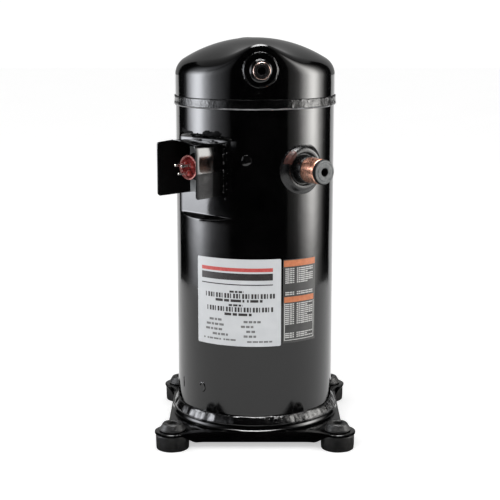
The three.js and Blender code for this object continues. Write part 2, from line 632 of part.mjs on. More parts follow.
// ---------------------------------------------------------------------------
// Main bearing housing and shaft
// ---------------------------------------------------------------------------
function mainBearingHousing() {
  const body = solid(revolve([
    [19.3, HUB_LOW], [27, HUB_LOW], [29, 324], [38, 331], [60, HOUSING_LOW], [FIXED_R, HOUSING_LOW], [FIXED_R, THRUST_FACE],
    [WELL_R, THRUST_FACE], [WELL_R, WELL_FLOOR], [19.3, WELL_FLOOR], [19.3, HUB_LOW],
  ]));
  const half = KEY_WIDTH / 2 + 0.1;
  const reach = KEY_R + KEY_LENGTH / 2 + ORBIT + 0.5;
  const inner = KEY_R - KEY_LENGTH / 2 - ORBIT - 0.5;
  const slots = [1, -1].map((sign) => solid(
    block(Math.min(sign * inner, sign * reach), Math.max(sign * inner, sign * reach), -half, half,
      THRUST_FACE - KEY_DEPTH, THRUST_FACE + 1),
  ));
  const windows = [45, 135, 225, 315].map((angle) => solid(
    block(62, 100, -17, 17, HOUSING_LOW - 5, THRUST_FACE + 5).rotateZ(angle * DEG),
  ));
  const boltHoles = BOLT_SPOTS.map(([x, y]) => solid(bar(4.4, 330, 400, PIN_ROUND).translate(x, y, 0)));
  const padSide = beyondPad(PAD_D - SHELL_WALL - 0.8, PAD_LOW - 10, PAD_HIGH + 10);
  return cut(body, ...slots, ...windows, ...boltHoles, padSide);
}
add('main_bearing_housing', mainBearingHousing(), FINISH.castIron);
add('main_bearing', ring(JOURNAL_R + GAP, 19, HUB_LOW + 1, WELL_FLOOR - 1), FINISH.bronze);

BOLT_SPOTS.forEach(([x, y], i) => {
  const head = BOLT_SEAT + GAP;
  const bolt = revolve([[0, 332], [4, 332], [4, head], [6.5, head], [6.5, head + 6], [0, head + 6]], PIN_ROUND);
  add(`scroll_bolt_${i + 1}`, bolt.translate(x, y, 0), FINISH.steel);
});

// Shaft with its main journal and the eccentric pin that drives the orbiting scroll.
function crankshaft() {
  const shaft = solid(revolve([
    [0, SHAFT_LOW], [SHAFT_R, SHAFT_LOW], [SHAFT_R, 294], [JOURNAL_R, 294], [JOURNAL_R, WELL_FLOOR], [0, WELL_FLOOR],
  ]));
  const pin = solid(bar(9.5, WELL_FLOOR - 1, 346).translate(ORBIT, 0, 0));
  return shaft.add(pin);
}
add('crankshaft', crankshaft(), FINISH.steel);
add('drive_bushing', ring(9.8, 17, 330.2, 346).translate(ORBIT, 0, 0), FINISH.darkSteel);
add('orbiting_bearing', ring(17.3, 20, 330.8, 346.2).translate(ORBIT, 0, 0), FINISH.bronze);

// Half-ring counterweights opposite (upper) and in line with (lower) the eccentric.
function counterweight(inner, outer, low, high, side) {
  const full = solid(ring(inner, outer, low, high));
  const boss = solid(ring(SHAFT_R + GAP, inner + 8, low, Math.min(high, low + 6)));
  const keep = solid(block(Math.min(0, side * 80), Math.max(0, side * 80), -80, 80, low - 1, high + 1));
  return full.intersect(keep).add(boss);
}
add('upper_counterweight', counterweight(22, 43, 271, 291, -1), FINISH.castIron);
add('lower_counterweight', counterweight(22, 40, 108, 121.6, 1), FINISH.castIron);

// ---------------------------------------------------------------------------
// Motor
// ---------------------------------------------------------------------------
add('rotor_core', ring(SHAFT_R + GAP, ROTOR_R, 128.3, 263.7), FINISH.darkSteel);
add('rotor_end_ring_upper', ring(24, ROTOR_R - 3, 264, 270.7), FINISH.aluminium);
add('rotor_end_ring_lower', ring(24, ROTOR_R - 3, 122, 128), FINISH.aluminium);

// Lamination stack with slots opening into the bore and flats on the outside for oil return.
function statorCore() {
  const bore = new THREE.Path();
  const pitch = (2 * Math.PI) / SLOTS;
  const at = (radius, angle) => [radius * Math.cos(angle), radius * Math.sin(angle)];
  for (let i = 0; i < SLOTS; i += 1) {
    const start = i * pitch;
    const corners = [[STATOR_BORE_R, 0], [STATOR_BORE_R, 0.55], [67, 0.6], [67, 0.95], [STATOR_BORE_R, 1]];
    corners.slice(0, 4).forEach(([radius, share], k) => {
      const point = at(radius, start + share * pitch);
      if (i === 0 && k === 0) bore.moveTo(...point);
      else bore.lineTo(...point);
    });
  }
  bore.closePath();
  const outer = new THREE.Shape(Array.from({ length: ROUND }, (_, i) => (
    new THREE.Vector2(...at(STATOR_R, (i * 2 * Math.PI) / ROUND))
  )));
  const stack = solid(prism(outer, STATOR_LOW, STATOR_HIGH, [bore]));
  const flats = [45, 135, 225, 315].map((angle) => solid(
    block(84.5, 95, -22, 22, STATOR_LOW - 1, STATOR_HIGH + 1).rotateZ(angle * DEG),
  ));
  return cut(stack, ...flats);
}
add('stator_core', statorCore(), FINISH.darkSteel);

// End turns of the windings: rounded rings above and below the stack.
function endWinding(low, high) {
  const bulge = 2.5;
  return revolve([
    [51, low], [76, low], [77.5, low + bulge], [77, high - bulge * 2], [73, high], [55, high], [50, high - bulge * 2],
    [49.5, low + bulge], [51, low],
  ]);
}
add('end_winding_upper', endWinding(STATOR_HIGH + GAP, 285), FINISH.winding);
add('end_winding_lower', endWinding(106, STATOR_LOW - GAP), FINISH.winding);

// Three leads from the upper end turns to the inside of the terminal pins.
const LEADS = [['common', FINISH.leadBlack], ['start', FINISH.leadYellow], ['run', FINISH.leadBlue]];
LEADS.forEach(([role, finish], i) => {
  const [x, y] = pinSpots[i];
  const pinX = TERMINAL.shift + x;
  const pinY = y;
  const drop = 286.4 - TERMINAL.height;
  const path = new THREE.CatmullRomCurve3([
    new THREE.Vector3(pinX * 1.6, drop, 62 + 2 * i),
    new THREE.Vector3(pinX * 1.5, drop + 9, 60 + 2 * i),
    new THREE.Vector3(pinX * 1.1, pinY - 10, 66),
    new THREE.Vector3(pinX, pinY, 70.5),
    new THREE.Vector3(pinX, pinY, PAD_D - 8.5),
  ]);
  const section = new THREE.Shape();
  section.absarc(0, 0, 1.6, 0, 2 * Math.PI, false);
  const tube = new THREE.ExtrudeGeometry(section, { steps: 12, curveSegments: 4, bevelEnabled: false, extrudePath: path });
  add(`lead_${role}`, outward(tube, PAD_AZIMUTH, TERMINAL.height), finish);
});

// ---------------------------------------------------------------------------
// Lower bearing and sump
// ---------------------------------------------------------------------------
function lowerBearingBracket() {
  const hub = solid(ring(16.3, 25, 84, 102));
  const arms = [30, 150, 270].map((angle) => solid(block(20, 87, -8, 8, 86, 94).rotateZ(angle * DEG)));
  const rim = solid(ring(84, STATOR_R, 84, 96));
  return union(hub, rim, ...arms).subtract(solid(bar(16.3, 80, 106, INNER)));
}
add('lower_bearing_bracket', lowerBearingBracket(), FINISH.castIron);
add('lower_bearing', ring(SHAFT_R + GAP, 16, 84.5, 102), FINISH.bronze);
add('oil_pickup', revolve([[3, 48], [5, 48], [10, 58], [12, 70], [12, 79.7], [3, 79.7], [3, 48]], FINE), FINISH.steel);
add('sump_magnet', ring(4, 12, 16.4, 22, FINE).translate(0, 30, 0), FINISH.darkSteel);

export default group;
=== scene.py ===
"""Looks of the hermetic scroll compressor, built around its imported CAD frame.

Lengths below are millimetres unless a name says otherwise; MM turns them into metres.
Azimuths are degrees from the front (-Y), positive toward +X, as in the CAD.
"""
import json
import math

import bmesh
import bpy
import numpy as np
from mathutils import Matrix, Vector, noise


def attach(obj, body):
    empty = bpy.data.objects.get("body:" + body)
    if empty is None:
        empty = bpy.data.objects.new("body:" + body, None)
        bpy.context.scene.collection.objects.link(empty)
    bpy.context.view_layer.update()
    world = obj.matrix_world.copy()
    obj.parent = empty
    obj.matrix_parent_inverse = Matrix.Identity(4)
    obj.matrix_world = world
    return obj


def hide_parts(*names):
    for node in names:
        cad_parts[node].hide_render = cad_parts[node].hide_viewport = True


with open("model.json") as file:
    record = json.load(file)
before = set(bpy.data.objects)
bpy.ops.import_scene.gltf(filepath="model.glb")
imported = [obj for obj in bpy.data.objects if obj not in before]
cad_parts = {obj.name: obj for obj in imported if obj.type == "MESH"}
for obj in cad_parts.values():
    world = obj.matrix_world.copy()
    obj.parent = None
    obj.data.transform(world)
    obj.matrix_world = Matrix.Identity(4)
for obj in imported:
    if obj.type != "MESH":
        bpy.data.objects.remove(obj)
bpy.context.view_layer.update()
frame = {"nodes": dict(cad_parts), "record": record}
SCENE = bpy.context.scene
MM = 0.001
RAD = math.pi / 180

# ---------------------------------------------------------------------------
# Dimensions shared with the CAD
# ---------------------------------------------------------------------------
SHELL_R = 92.7
WALL = 3.5
CAP_R = 93.1
CAP_LOW = 396.6
CAP_APEX = 466.3
CROWN_R = 156.0
KNUCKLE_R = 22.0
PAD = {"az": -43.0, "d": 84.0, "low": 266.0, "high": 357.0}
DISCHARGE = {"az": 3.6, "z": 433.0, "reach": 113.0, "tube": 9.6, "bore": 6.6}
SUCTION = {"az": 35.5, "z": 322.0, "tube": 14.2, "bore": 12.4}
FOOT = 95.25
PLATE_TOP = 21.3
PLATE_LOW = 18.3
PLATE_SIDE = 101.5
EAR_HOLE_R = 9.3
CORNERS = {"front_left": (-1, -1), "front_right": (1, -1), "rear_right": (1, 1), "rear_left": (-1, 1)}
NAMEPLATE = {"from": -44.8, "to": 18.5, "low": 119.7, "high": 221.0}
INFO_LABEL = {"from": 20.0, "to": 48.0, "low": 122.0, "high": 219.6}
LABEL_IN = 92.8
LABEL_OUT = 93.2
# The round ears and the suction tube stay a little inside the CAD's faceted ones.
EAR_R = 20.5
SUCTION_END = 127.6


# ---------------------------------------------------------------------------
# Mesh helpers
# ---------------------------------------------------------------------------
def smooth_step(low, high, value):
    t = np.clip((value - low) / (high - low), 0.0, 1.0)
    return t * t * (3 - 2 * t)


def smooth_min(a, b, k):
    h = np.clip(0.5 + 0.5 * (b - a) / k, 0.0, 1.0)
    return b + (a - b) * h - k * h * (1 - h)


def smooth_max(a, b, k):
    return -smooth_min(-a, -b, k)


def wobble(x, y, z, scale):
    """Smooth noise, about -1 to 1, at a wavelength of scale millimetres."""
    return noise.noise(Vector((x / scale, y / scale, z / scale)))


def outward(azimuth):
    """Unit vector from the shell axis toward an azimuth."""
    return Vector((math.sin(azimuth * RAD), -math.cos(azimuth * RAD), 0.0))

def sideways(azimuth):
    """Unit vector to the right of that direction, seen from outside the shell."""
    return Vector((math.cos(azimuth * RAD), math.sin(azimuth * RAD), 0.0))

def make_object(name, points, faces):
    """A smooth-shaded mesh object from millimetre points; coincident points are joined."""
    mesh = bpy.data.meshes.new(name)
    mesh.from_pydata([(x * MM, y * MM, z * MM) for x, y, z in points], [], faces)
    work = bmesh.new()
    work.from_mesh(mesh)
    bmesh.ops.remove_doubles(work, verts=work.verts, dist=1e-6)
    bmesh.ops.dissolve_degenerate(work, edges=work.edges, dist=1e-7)
    work.to_mesh(mesh)
    work.free()
    mesh.polygons.foreach_set("use_smooth", [True] * len(mesh.polygons))
    made = bpy.data.objects.new(name, mesh)
    SCENE.collection.objects.link(made)
    return made


def grid_faces(rows, columns, close_rows=True, close_columns=True):
    """Quads of a grid stored row by row; rows run up the outside, columns run counter-clockwise."""
    faces = []
    for i in range(rows if close_rows else rows - 1):
        for j in range(columns if close_columns else columns - 1):
            a, b = i * columns, ((i + 1) % rows) * columns
            k = (j + 1) % columns
            faces.append((a + j, a + k, b + k, b + j))
    return faces


def lathe_points(profile, segments):
    """Points of a [radius, height] profile turned about the local z axis, row by row."""
    turn = [2 * math.pi * j / segments for j in range(segments)]
    return [(r * math.cos(t), r * math.sin(t), z) for r, z in profile for t in turn]


def rounded(profile, radius, steps=3):
    """A closed profile with each corner cut to a small arc."""
    count = len(profile)
    made = []
    for i, corner in enumerate(profile):
        corner = np.array(corner, float)
        before = np.array(profile[i - 1], float) - corner
        after = np.array(profile[(i + 1) % count], float) - corner
        if corner[0] < 1e-6 or min(np.linalg.norm(before), np.linalg.norm(after)) < 1e-6:
            made.append(tuple(corner))
            continue
        size = min(radius, 0.45 * np.linalg.norm(before), 0.45 * np.linalg.norm(after))
        start = corner + before / np.linalg.norm(before) * size
        end = corner + after / np.linalg.norm(after) * size
        for step in range(steps + 1):
            t = step / steps
            made.append(tuple((1 - t) ** 2 * start + 2 * t * (1 - t) * corner + t * t * end))
    return made


def port_place(azimuth, height):
    """Maps local port axes (sideways, up, outward) to the row frame."""
    side, out = math.cos(azimuth * RAD), math.sin(azimuth * RAD)

    def place(point):
        x, y, z = point
        return (x * side + z * out, x * out - z * side, y + height)

    return place


def upright(x0, y0):
    def place(point):
        return (point[0] + x0, point[1] + y0, point[2])

    return place


def lathe(name, profile, segments, place, corner=0.4, bump=0.0, bump_scale=8.0):
    """A closed solid of revolution with softened corners and slight unevenness."""
    profile = rounded(profile, corner) if corner else profile
    points = []
    for x, y, z in lathe_points(profile, segments):
        if bump:
            r = math.hypot(x, y)
            grow = 1 + bump * wobble(x, y, z, bump_scale) / max(r, 1.0)
            x, y = x * grow, y * grow
        points.append(place((x, y, z)))
    return make_object(name, points, grid_faces(len(profile), segments))


def lumpy_tube(path, radius, lump=0.25, seed=0.0, sides=10, flat=1.0):
    """Points and faces of an uneven closed tube laid along a path of millimetre points."""
    path = [Vector(p) for p in path]
    count = len(path)
    points = []
    for i, centre in enumerate(path):
        ahead = (path[min(i + 1, count - 1)] - path[max(i - 1, 0)]).normalized()
        side = Vector((centre.x, centre.y, 0)).normalized()
        across = ahead.cross(side).normalized()
        lift = across.cross(ahead).normalized()
        t = i / (count - 1)
        taper = math.sqrt(max(0.0, 1 - abs(2 * t - 1) ** 6))
        for j in range(sides):
            turn = 2 * math.pi * j / sides
            size = radius * taper
            size *= 1 + lump * noise.noise(centre / 3.0 + Vector((seed, turn, 0)))
            aside = centre + across * (size * math.cos(turn))
            points.append(tuple(aside + lift * (size * flat * math.sin(turn))))
    return points, grid_faces(count, sides, close_rows=False)


def join_parts(name, parts):
    """One mesh object from several (points, faces) lists."""
    points, faces = [], []
    for some, quads in parts:
        faces += [tuple(k + len(points) for k in quad) for quad in quads]
        points += some
    return make_object(name, points, faces)


def apply_modifiers(target):
    """Writes a new object's modifiers into its own mesh."""
    graph = bpy.context.evaluated_depsgraph_get()
    final = bpy.data.meshes.new_from_object(target.evaluated_get(graph))
    target.modifiers.clear()
    old = target.data
    target.data = final
    bpy.data.meshes.remove(old)
    return target


def cut_with(target, tools):
    """Cuts the given closed tool objects out of a closed object."""
    for tool in tools:
        modifier = target.modifiers.new("cut", "BOOLEAN")
        modifier.operation = "DIFFERENCE"
        modifier.solver = "EXACT"
        modifier.object = tool
    apply_modifiers(target)
    for tool in tools:
        bpy.data.objects.remove(tool)
    return target


def shade_by_angle(target, limit=35.0):
    """Smooth faces, sharp across edges steeper than the limit."""
    target.data.set_sharp_from_angle(angle=limit * RAD)
    return target


# ---------------------------------------------------------------------------
# Material helpers
# ---------------------------------------------------------------------------
# Sockets of the Mix node when it mixes colours
MIX_FACTOR, MIX_FIRST, MIX_SECOND, MIX_RESULT = 0, 6, 7, 2

class Nodes:
    """A thin wrapper that adds and links shader nodes."""

    def __init__(self, tree):
        self.tree = tree
        tree.nodes.clear()

    def add(self, kind, **settings):
        node = self.tree.nodes.new(kind)
        for key, value in settings.items():
            setattr(node, key, value)
        return node

    def link(self, source, target):
        self.tree.links.new(source, target)

    def coords(self, stretch=(1, 1, 1)):
        where = self.add("ShaderNodeTexCoord")
        if tuple(stretch) == (1, 1, 1):
            return where.outputs["Object"]
        mapping = self.add("ShaderNodeMapping")
        mapping.inputs["Scale"].default_value = stretch
        self.link(where.outputs["Object"], mapping.inputs["Vector"])
        return mapping.outputs["Vector"]

    def noise(self, scale, detail=4.0, rough=0.55, stretch=(1, 1, 1), distortion=0.0):
        texture = self.add("ShaderNodeTexNoise")
        texture.inputs["Scale"].default_value = scale
        texture.inputs["Detail"].default_value = detail
        texture.inputs["Roughness"].default_value = rough
        texture.inputs["Distortion"].default_value = distortion
        self.link(self.coords(stretch), texture.inputs["Vector"])
        return texture.outputs["Fac"]

    def ramp(self, value, stops):
        made = self.add("ShaderNodeValToRGB")
        ramp = made.color_ramp
        while len(ramp.elements) < len(stops):
            ramp.elements.new(0.5)
        for element, (position, colour) in zip(ramp.elements, stops):
            element.position = position
            shade = colour if isinstance(colour, tuple) else (colour,) * 3
            element.color = (*shade, 1.0)
        self.link(value, made.inputs["Fac"])
        return made.outputs["Color"]

    def mix(self, factor, a, b):
        """Mixes two colours; each is a socket or a fixed (red, green, blue)."""
        node = self.add("ShaderNodeMix", data_type="RGBA")
        self.link(factor, node.inputs[MIX_FACTOR])
        for socket, value in ((MIX_FIRST, a), (MIX_SECOND, b)):
            if isinstance(value, bpy.types.NodeSocket):
                self.link(value, node.inputs[socket])
            else:
                node.inputs[socket].default_value = (*value, 1.0)
        return node.outputs[MIX_RESULT]

    def math(self, kind, *values):
        node = self.add("ShaderNodeMath", operation=kind)
        for socket, value in zip(node.inputs, values):
            if isinstance(value, bpy.types.NodeSocket):
                self.link(value, socket)
            else:
                socket.default_value = value
        return node.outputs[0]

    def bump(self, height, distance, under=None):
        node = self.add("ShaderNodeBump")
        node.inputs["Distance"].default_value = distance
        self.link(height, node.inputs["Height"])
        if under is not None:
            self.link(under, node.inputs["Normal"])
        return node.outputs["Normal"]


def base_material(name, metallic=0.0, ior=1.5, **sockets):
    """A Principled material and its node wrapper, with constants set on the shader itself."""
    material = bpy.data.materials.new(name)
    material.use_nodes = True
    nodes = Nodes(material.node_tree)
    output = nodes.add("ShaderNodeOutputMaterial")
    shader = nodes.add("ShaderNodeBsdfPrincipled")
    shader.inputs["Metallic"].default_value = metallic
    shader.inputs["IOR"].default_value = ior
    for key, value in sockets.items():
        shader.inputs[key.replace("_", " ")].default_value = value
    nodes.link(shader.outputs["BSDF"], output.inputs["Surface"])
    return material, nodes, shader


def surface(name, dark, light, rough, scale, grain, depth, metallic=0.0, ior=1.5, stretch=(1, 1, 1),
            waves=None):
    """Two shades mottled at a scale, a range of gloss, and a fine grain over an optional slow wave."""
    material, nodes, shader = base_material(name, metallic, ior)
    mottle = nodes.noise(scale, 6.0, 0.6, stretch)
    colour = nodes.ramp(mottle, [(0.32, dark), (0.68, light)])
    nodes.link(colour, shader.inputs["Base Color"])
    gloss = nodes.noise(scale * 2.3, 5.0, 0.6, stretch)
    nodes.link(nodes.ramp(gloss, [(0.3, rough[0]), (0.7, rough[1])]), shader.inputs["Roughness"])
    under = None
    if waves:
        under = nodes.bump(nodes.noise(waves[0], 2.0, 0.4), waves[1])
    fine = nodes.noise(grain, 3.0, 0.5, stretch)
    nodes.link(nodes.bump(fine, depth, under), shader.inputs["Normal"])
    return material


def paint_material():
    """Glossy black enamel: orange peel, slow ripple, faint dust and handling haze."""
    material, nodes, shader = base_material("black_enamel")
    dust = nodes.noise(38.0, 8.0, 0.62)
    nodes.link(nodes.ramp(dust, [(0.35, (0.0004, 0.0004, 0.0005)), (0.8, (0.0018, 0.0017, 0.0018))]),
               shader.inputs["Base Color"])
    haze = nodes.noise(22.0, 6.0, 0.65)
    nodes.link(nodes.ramp(haze, [(0.3, 0.07), (0.75, 0.13)]), shader.inputs["Roughness"])
    ripple = nodes.bump(nodes.noise(34.0, 2.0, 0.45), 0.00022)
    peel = nodes.noise(620.0, 2.0, 0.4)
    nodes.link(nodes.bump(peel, 0.000012, ripple), shader.inputs["Normal"])
    return material


def weld_material():
    """Enamel over weld: the same gloss, but ridged and pitted underneath."""
    material, nodes, shader = base_material("painted_weld")
    tone = nodes.noise(120.0, 6.0, 0.6)
    nodes.link(nodes.ramp(tone, [(0.35, (0.0006, 0.0006, 0.0007)), (0.8, (0.004, 0.0038, 0.004))]),
               shader.inputs["Base Color"])
    nodes.link(nodes.ramp(nodes.noise(260.0), [(0.3, 0.08), (0.75, 0.2)]), shader.inputs["Roughness"])
    patches = nodes.ramp(nodes.noise(14.0, 2.0, 0.5), [(0.5, 0.12), (0.68, 1.0)])
    ridges = nodes.math("MULTIPLY", nodes.noise(210.0, 4.0, 0.6, distortion=0.6), patches)
    ripple = nodes.bump(ridges, 0.0011)
    nodes.link(nodes.bump(nodes.noise(900.0, 3.0), 0.00003, ripple), shader.inputs["Normal"])
    return material


def copper_material():
    """Bright drawn copper with heat tint, faint upright scratches and darker stains."""
    material, nodes, shader = base_material("drawn_copper", metallic=0.92)
    tint = nodes.noise(32.0, 2.0, 0.5)
    base = nodes.ramp(tint, [(0.3, (0.76, 0.33, 0.21)), (0.55, (0.88, 0.45, 0.32)), (0.8, (0.97, 0.64, 0.5))])
    stain = nodes.ramp(nodes.noise(28.0, 2.0, 0.5), [(0.6, 0.0), (0.85, 0.35)])
    nodes.link(nodes.mix(stain, base, (0.5, 0.2, 0.12)), shader.inputs["Base Color"])
    nodes.link(nodes.ramp(nodes.noise(120.0, 6.0), [(0.3, 0.2), (0.75, 0.36)]), shader.inputs["Roughness"])
    scratch = nodes.noise(400.0, 2.0, 0.5, stretch=(1, 1, 0.12))
    nodes.link(nodes.bump(scratch, 0.000002), shader.inputs["Normal"])
    return material


def worn_stub_material(azimuth, rim):
    """Black enamel on a copper tube, rubbed through to copper near its rim."""
    material, nodes, shader = base_material("enamelled_copper")
    where = nodes.add("ShaderNodeTexCoord")
    along = nodes.add("ShaderNodeVectorMath", operation="DOT_PRODUCT")
    along.inputs[1].default_value = outward(azimuth)
    nodes.link(where.outputs["Object"], along.inputs[0])
    ragged = nodes.math("MULTIPLY_ADD", nodes.noise(320.0, 5.0, 0.6), 0.0028, -0.0014)
    reach = nodes.math("ADD", along.outputs["Value"], ragged)
    bare = nodes.add("ShaderNodeMapRange")
    bare.inputs["From Min"].default_value = (rim - 1.2) * MM
    bare.inputs["From Max"].default_value = (rim - 0.7) * MM
    nodes.link(reach, bare.inputs["Value"])
    worn = bare.outputs["Result"]
    copper = nodes.ramp(nodes.noise(300.0, 6.0), [(0.3, (0.55, 0.36, 0.3)), (0.7, (0.92, 0.72, 0.64))])
    black = nodes.ramp(nodes.noise(90.0, 5.0),
                       [(0.35, (0.0006, 0.0006, 0.0006)), (0.75, (0.003, 0.0027, 0.0027))])
    nodes.link(nodes.mix(worn, black, copper), shader.inputs["Base Color"])
    nodes.link(worn, shader.inputs["Metallic"])
    nodes.link(nodes.ramp(nodes.noise(200.0), [(0.3, 0.16), (0.75, 0.3)]), shader.inputs["Roughness"])
    nodes.link(nodes.bump(nodes.noise(700.0, 3.0), 0.00004), shader.inputs["Normal"])
    return material


PAINT = paint_material()
WELD = weld_material()
COPPER = copper_material()
RUBBER = surface("foot_rubber", (0.004, 0.004, 0.0043), (0.013, 0.0125, 0.012), (0.36, 0.58), 90.0, 1400.0,
                 0.00012, ior=1.42, waves=(120.0, 0.0003))
# Near-black rubber: the colour of the discharge plug, and painted shade in the grey suction plug's hole and
# round its flange.
BLACK_RUBBER_AND_SHADE = surface("black_rubber_and_painted_shade", (0.0012, 0.001, 0.001), (0.004, 0.0032, 0.0032), (0.4, 0.6),
                     140.0, 1200.0, 0.00008, ior=1.25)
GREY_PLUG = surface("grey_plug_rubber", (0.07, 0.074, 0.074), (0.15, 0.156, 0.156), (0.45, 0.65), 260.0,
                    1500.0, 0.00018, waves=(420.0, 0.0002))
# Grey painted highlight for the underside of the upper weld, standing in for the floor's reflection there.
BEAD_PAINTED_HIGHLIGHT = surface("bead_underside_painted_highlight", (0.05, 0.05, 0.05), (0.3, 0.3, 0.31), (0.3, 0.5), 70.0, 900.0,
                    0.00002)
CUP_FLOOR = surface("terminal_cup_floor", (0.02, 0.002, 0.002), (0.3, 0.035, 0.035), (0.08, 0.3), 240.0,
                    1100.0, 0.00012)
# Light grey for the pad between the fence walls: a painted reflection of the bright card seen on the pad
# below the fence.
PAD_PAINTED_REFLECTION = surface("pad_painted_reflection", (0.15, 0.155, 0.16), (0.3, 0.31, 0.32), (0.3, 0.5), 50.0, 900.0,
                   0.00004)
# Near-black with weak reflection: painted shade on top of the upper weld, inside the fence and along the
# pad's top step; it also covers the outside of the terminal cup.
DULL_BLACK_AND_SHADE = surface("dull_black_and_painted_shade", (0.0004, 0.0004, 0.0005), (0.0014, 0.0013, 0.0014), (0.45, 0.65),
                     60.0, 900.0, 0.00003, ior=1.14)
# Softer black for the lower right wall of the fence: painted shade that dims its reflection.
GUARD_SOFT_SHADE = surface("fence_painted_soft_shade", (0.004, 0.004, 0.0045), (0.014, 0.014, 0.015), (0.2, 0.4), 50.0,
                      900.0, 0.00003, ior=1.21)
HEAT_TINT = surface("heat_tinted_enamel", (0.003, 0.002, 0.002), (0.075, 0.026, 0.02), (0.25, 0.45), 260.0,
                    1300.0, 0.00006, ior=1.35)
SEAT_ENAMEL = surface("port_seat_enamel", (0.001, 0.001, 0.0012), (0.004, 0.0038, 0.004), (0.2, 0.33), 60.0,
                      1300.0, 0.00008)
CUP_COPPER = surface("terminal_cup_finish", (0.5, 0.1, 0.1), (0.95, 0.5, 0.46), (0.15, 0.35), 260.0, 1100.0,
                     0.00008, metallic=0.55)
SEAL_GLASS = surface("terminal_seal_glass", (0.05, 0.004, 0.004), (0.4, 0.05, 0.045), (0.05, 0.14), 320.0,
                     1500.0, 0.00004, ior=1.55)
PIN_STEEL = surface("terminal_pin_plating", (0.62, 0.6, 0.57), (0.9, 0.88, 0.85), (0.16, 0.34), 420.0,
                    1500.0, 0.00005, metallic=1.0, stretch=(1, 1, 0.3))
FILM = surface("nameplate_paper", (0.52, 0.535, 0.55), (0.58, 0.592, 0.605), (0.34, 0.44), 45.0, 1800.0,
               0.00002, waves=(30.0, 0.0002))
INFO_FILM = surface("info_label_paper", (0.02, 0.02, 0.02), (0.045, 0.045, 0.043), (0.3, 0.45), 60.0,
                    1800.0, 0.00002, waves=(60.0, 0.0004))
INK = surface("ink_black", (0.012, 0.009, 0.009), (0.026, 0.021, 0.021), (0.4, 0.55), 500.0, 2000.0,
              0.00001)
INK_SOFT = surface("ink_grey", (0.1, 0.1, 0.1), (0.2, 0.2, 0.2), (0.4, 0.55), 500.0, 2000.0, 0.00001)
INK_RED = surface("ink_red", (0.42, 0.045, 0.04), (0.52, 0.08, 0.07), (0.4, 0.55), 300.0, 2000.0, 0.00001)
INK_ORANGE = surface("ink_orange", (0.42, 0.12, 0.04), (0.55, 0.18, 0.07), (0.38, 0.5), 250.0, 2000.0,
                     0.00001)
INK_PALE = surface("ink_pale", (0.42, 0.42, 0.41), (0.58, 0.58, 0.56), (0.38, 0.5), 350.0, 2000.0, 0.00001)

INNER = {
    "cast_iron": surface("cast_iron", (0.075, 0.075, 0.078), (0.16, 0.158, 0.155), (0.5, 0.72), 90.0, 700.0,
                         0.0003, metallic=0.8),
    "light_alloy": surface("die_cast_alloy", (0.42, 0.43, 0.44), (0.62, 0.63, 0.64), (0.3, 0.5), 70.0, 800.0,
                           0.00012, metallic=0.95),
    "bearing_bronze": surface("bearing_bronze", (0.4, 0.24, 0.09), (0.6, 0.4, 0.17), (0.25, 0.42), 80.0,
                              900.0, 0.00006, metallic=1.0, stretch=(1, 1, 6)),
    "pressed_steel": surface("pressed_steel", (0.25, 0.26, 0.27), (0.42, 0.42, 0.43), (0.3, 0.5), 60.0, 900.0,
                             0.00008, metallic=1.0),
    "lamination_steel": surface("lamination_stack", (0.12, 0.13, 0.15), (0.28, 0.29, 0.31), (0.35, 0.55),
                                60.0, 420.0, 0.0003, metallic=0.9, stretch=(0.05, 0.05, 6)),
    "machined_steel": surface("machined_steel", (0.45, 0.455, 0.46), (0.66, 0.66, 0.67), (0.16, 0.32), 70.0,
                              700.0, 0.00005, metallic=1.0, stretch=(1, 1, 8)),
    "winding_copper": surface("enamelled_winding", (0.3, 0.09, 0.03), (0.55, 0.22, 0.08), (0.25, 0.45), 300.0,
                              380.0, 0.0009, metallic=0.6, stretch=(1, 1, 0.25)),
}
for colour, dark, light in (("black", (0.012, 0.012, 0.012), (0.03, 0.03, 0.03)),
                            ("yellow", (0.4, 0.28, 0.03), (0.55, 0.42, 0.08)),
                            ("blue", (0.015, 0.04, 0.14), (0.04, 0.09, 0.25))):
    INNER["lead_" + colour] = surface("lead_" + colour, dark, light, (0.4, 0.6), 200.0, 900.0, 0.0001)

def dress(piece, material, body="shell", replaces=()):
    """Gives a finished piece its material and body, and hides the CAD nodes it stands for."""
    piece.data.materials.clear()
    piece.data.materials.append(material)
    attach(piece, body)
    if replaces:
        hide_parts(*replaces)
    return piece

def repaint(piece, material, chosen):
    """Gives another material to the faces whose centre, in millimetres, and normal pass the test."""
    piece.data.materials.append(material)
    last = len(piece.data.materials) - 1
    for polygon in piece.data.polygons:
        if chosen(polygon.center / MM, polygon.normal):
            polygon.material_index = last

def off_axis(point, azimuth, height, shift=0.0):
    """Distance of a point from a level axis that leaves the shell at an azimuth and height."""
    return math.hypot(point.dot(sideways(azimuth)) - shift, point.z - height)

# ---------------------------------------------------------------------------
# Centre shell with the pressed terminal pad
# ---------------------------------------------------------------------------
def shell_radius(azimuth, z, radius):
    """Radius of the shell wall, cut back to the flat pad and softly blended into it."""
    turn = (azimuth - PAD["az"]) * RAD
    if math.cos(turn) < 0.3:
        return radius
    middle, half = (PAD["low"] + PAD["high"]) / 2, (PAD["high"] - PAD["low"]) / 2
    rise = 14.0 * smooth_step(half - 2.0, half + 5.5, abs(z - middle))
    depth = (PAD["d"] - (SHELL_R - radius) + rise) / math.cos(turn)
    # The pad's right edge is rounder than its left, most of all along its middle.
    crisp = 1.2
    rounder = (5.0 if rise < 1.0 else 2.0) * float(smooth_step(6.0 * RAD, 14.0 * RAD, turn))
    return float(smooth_min(radius, depth, crisp + rounder))

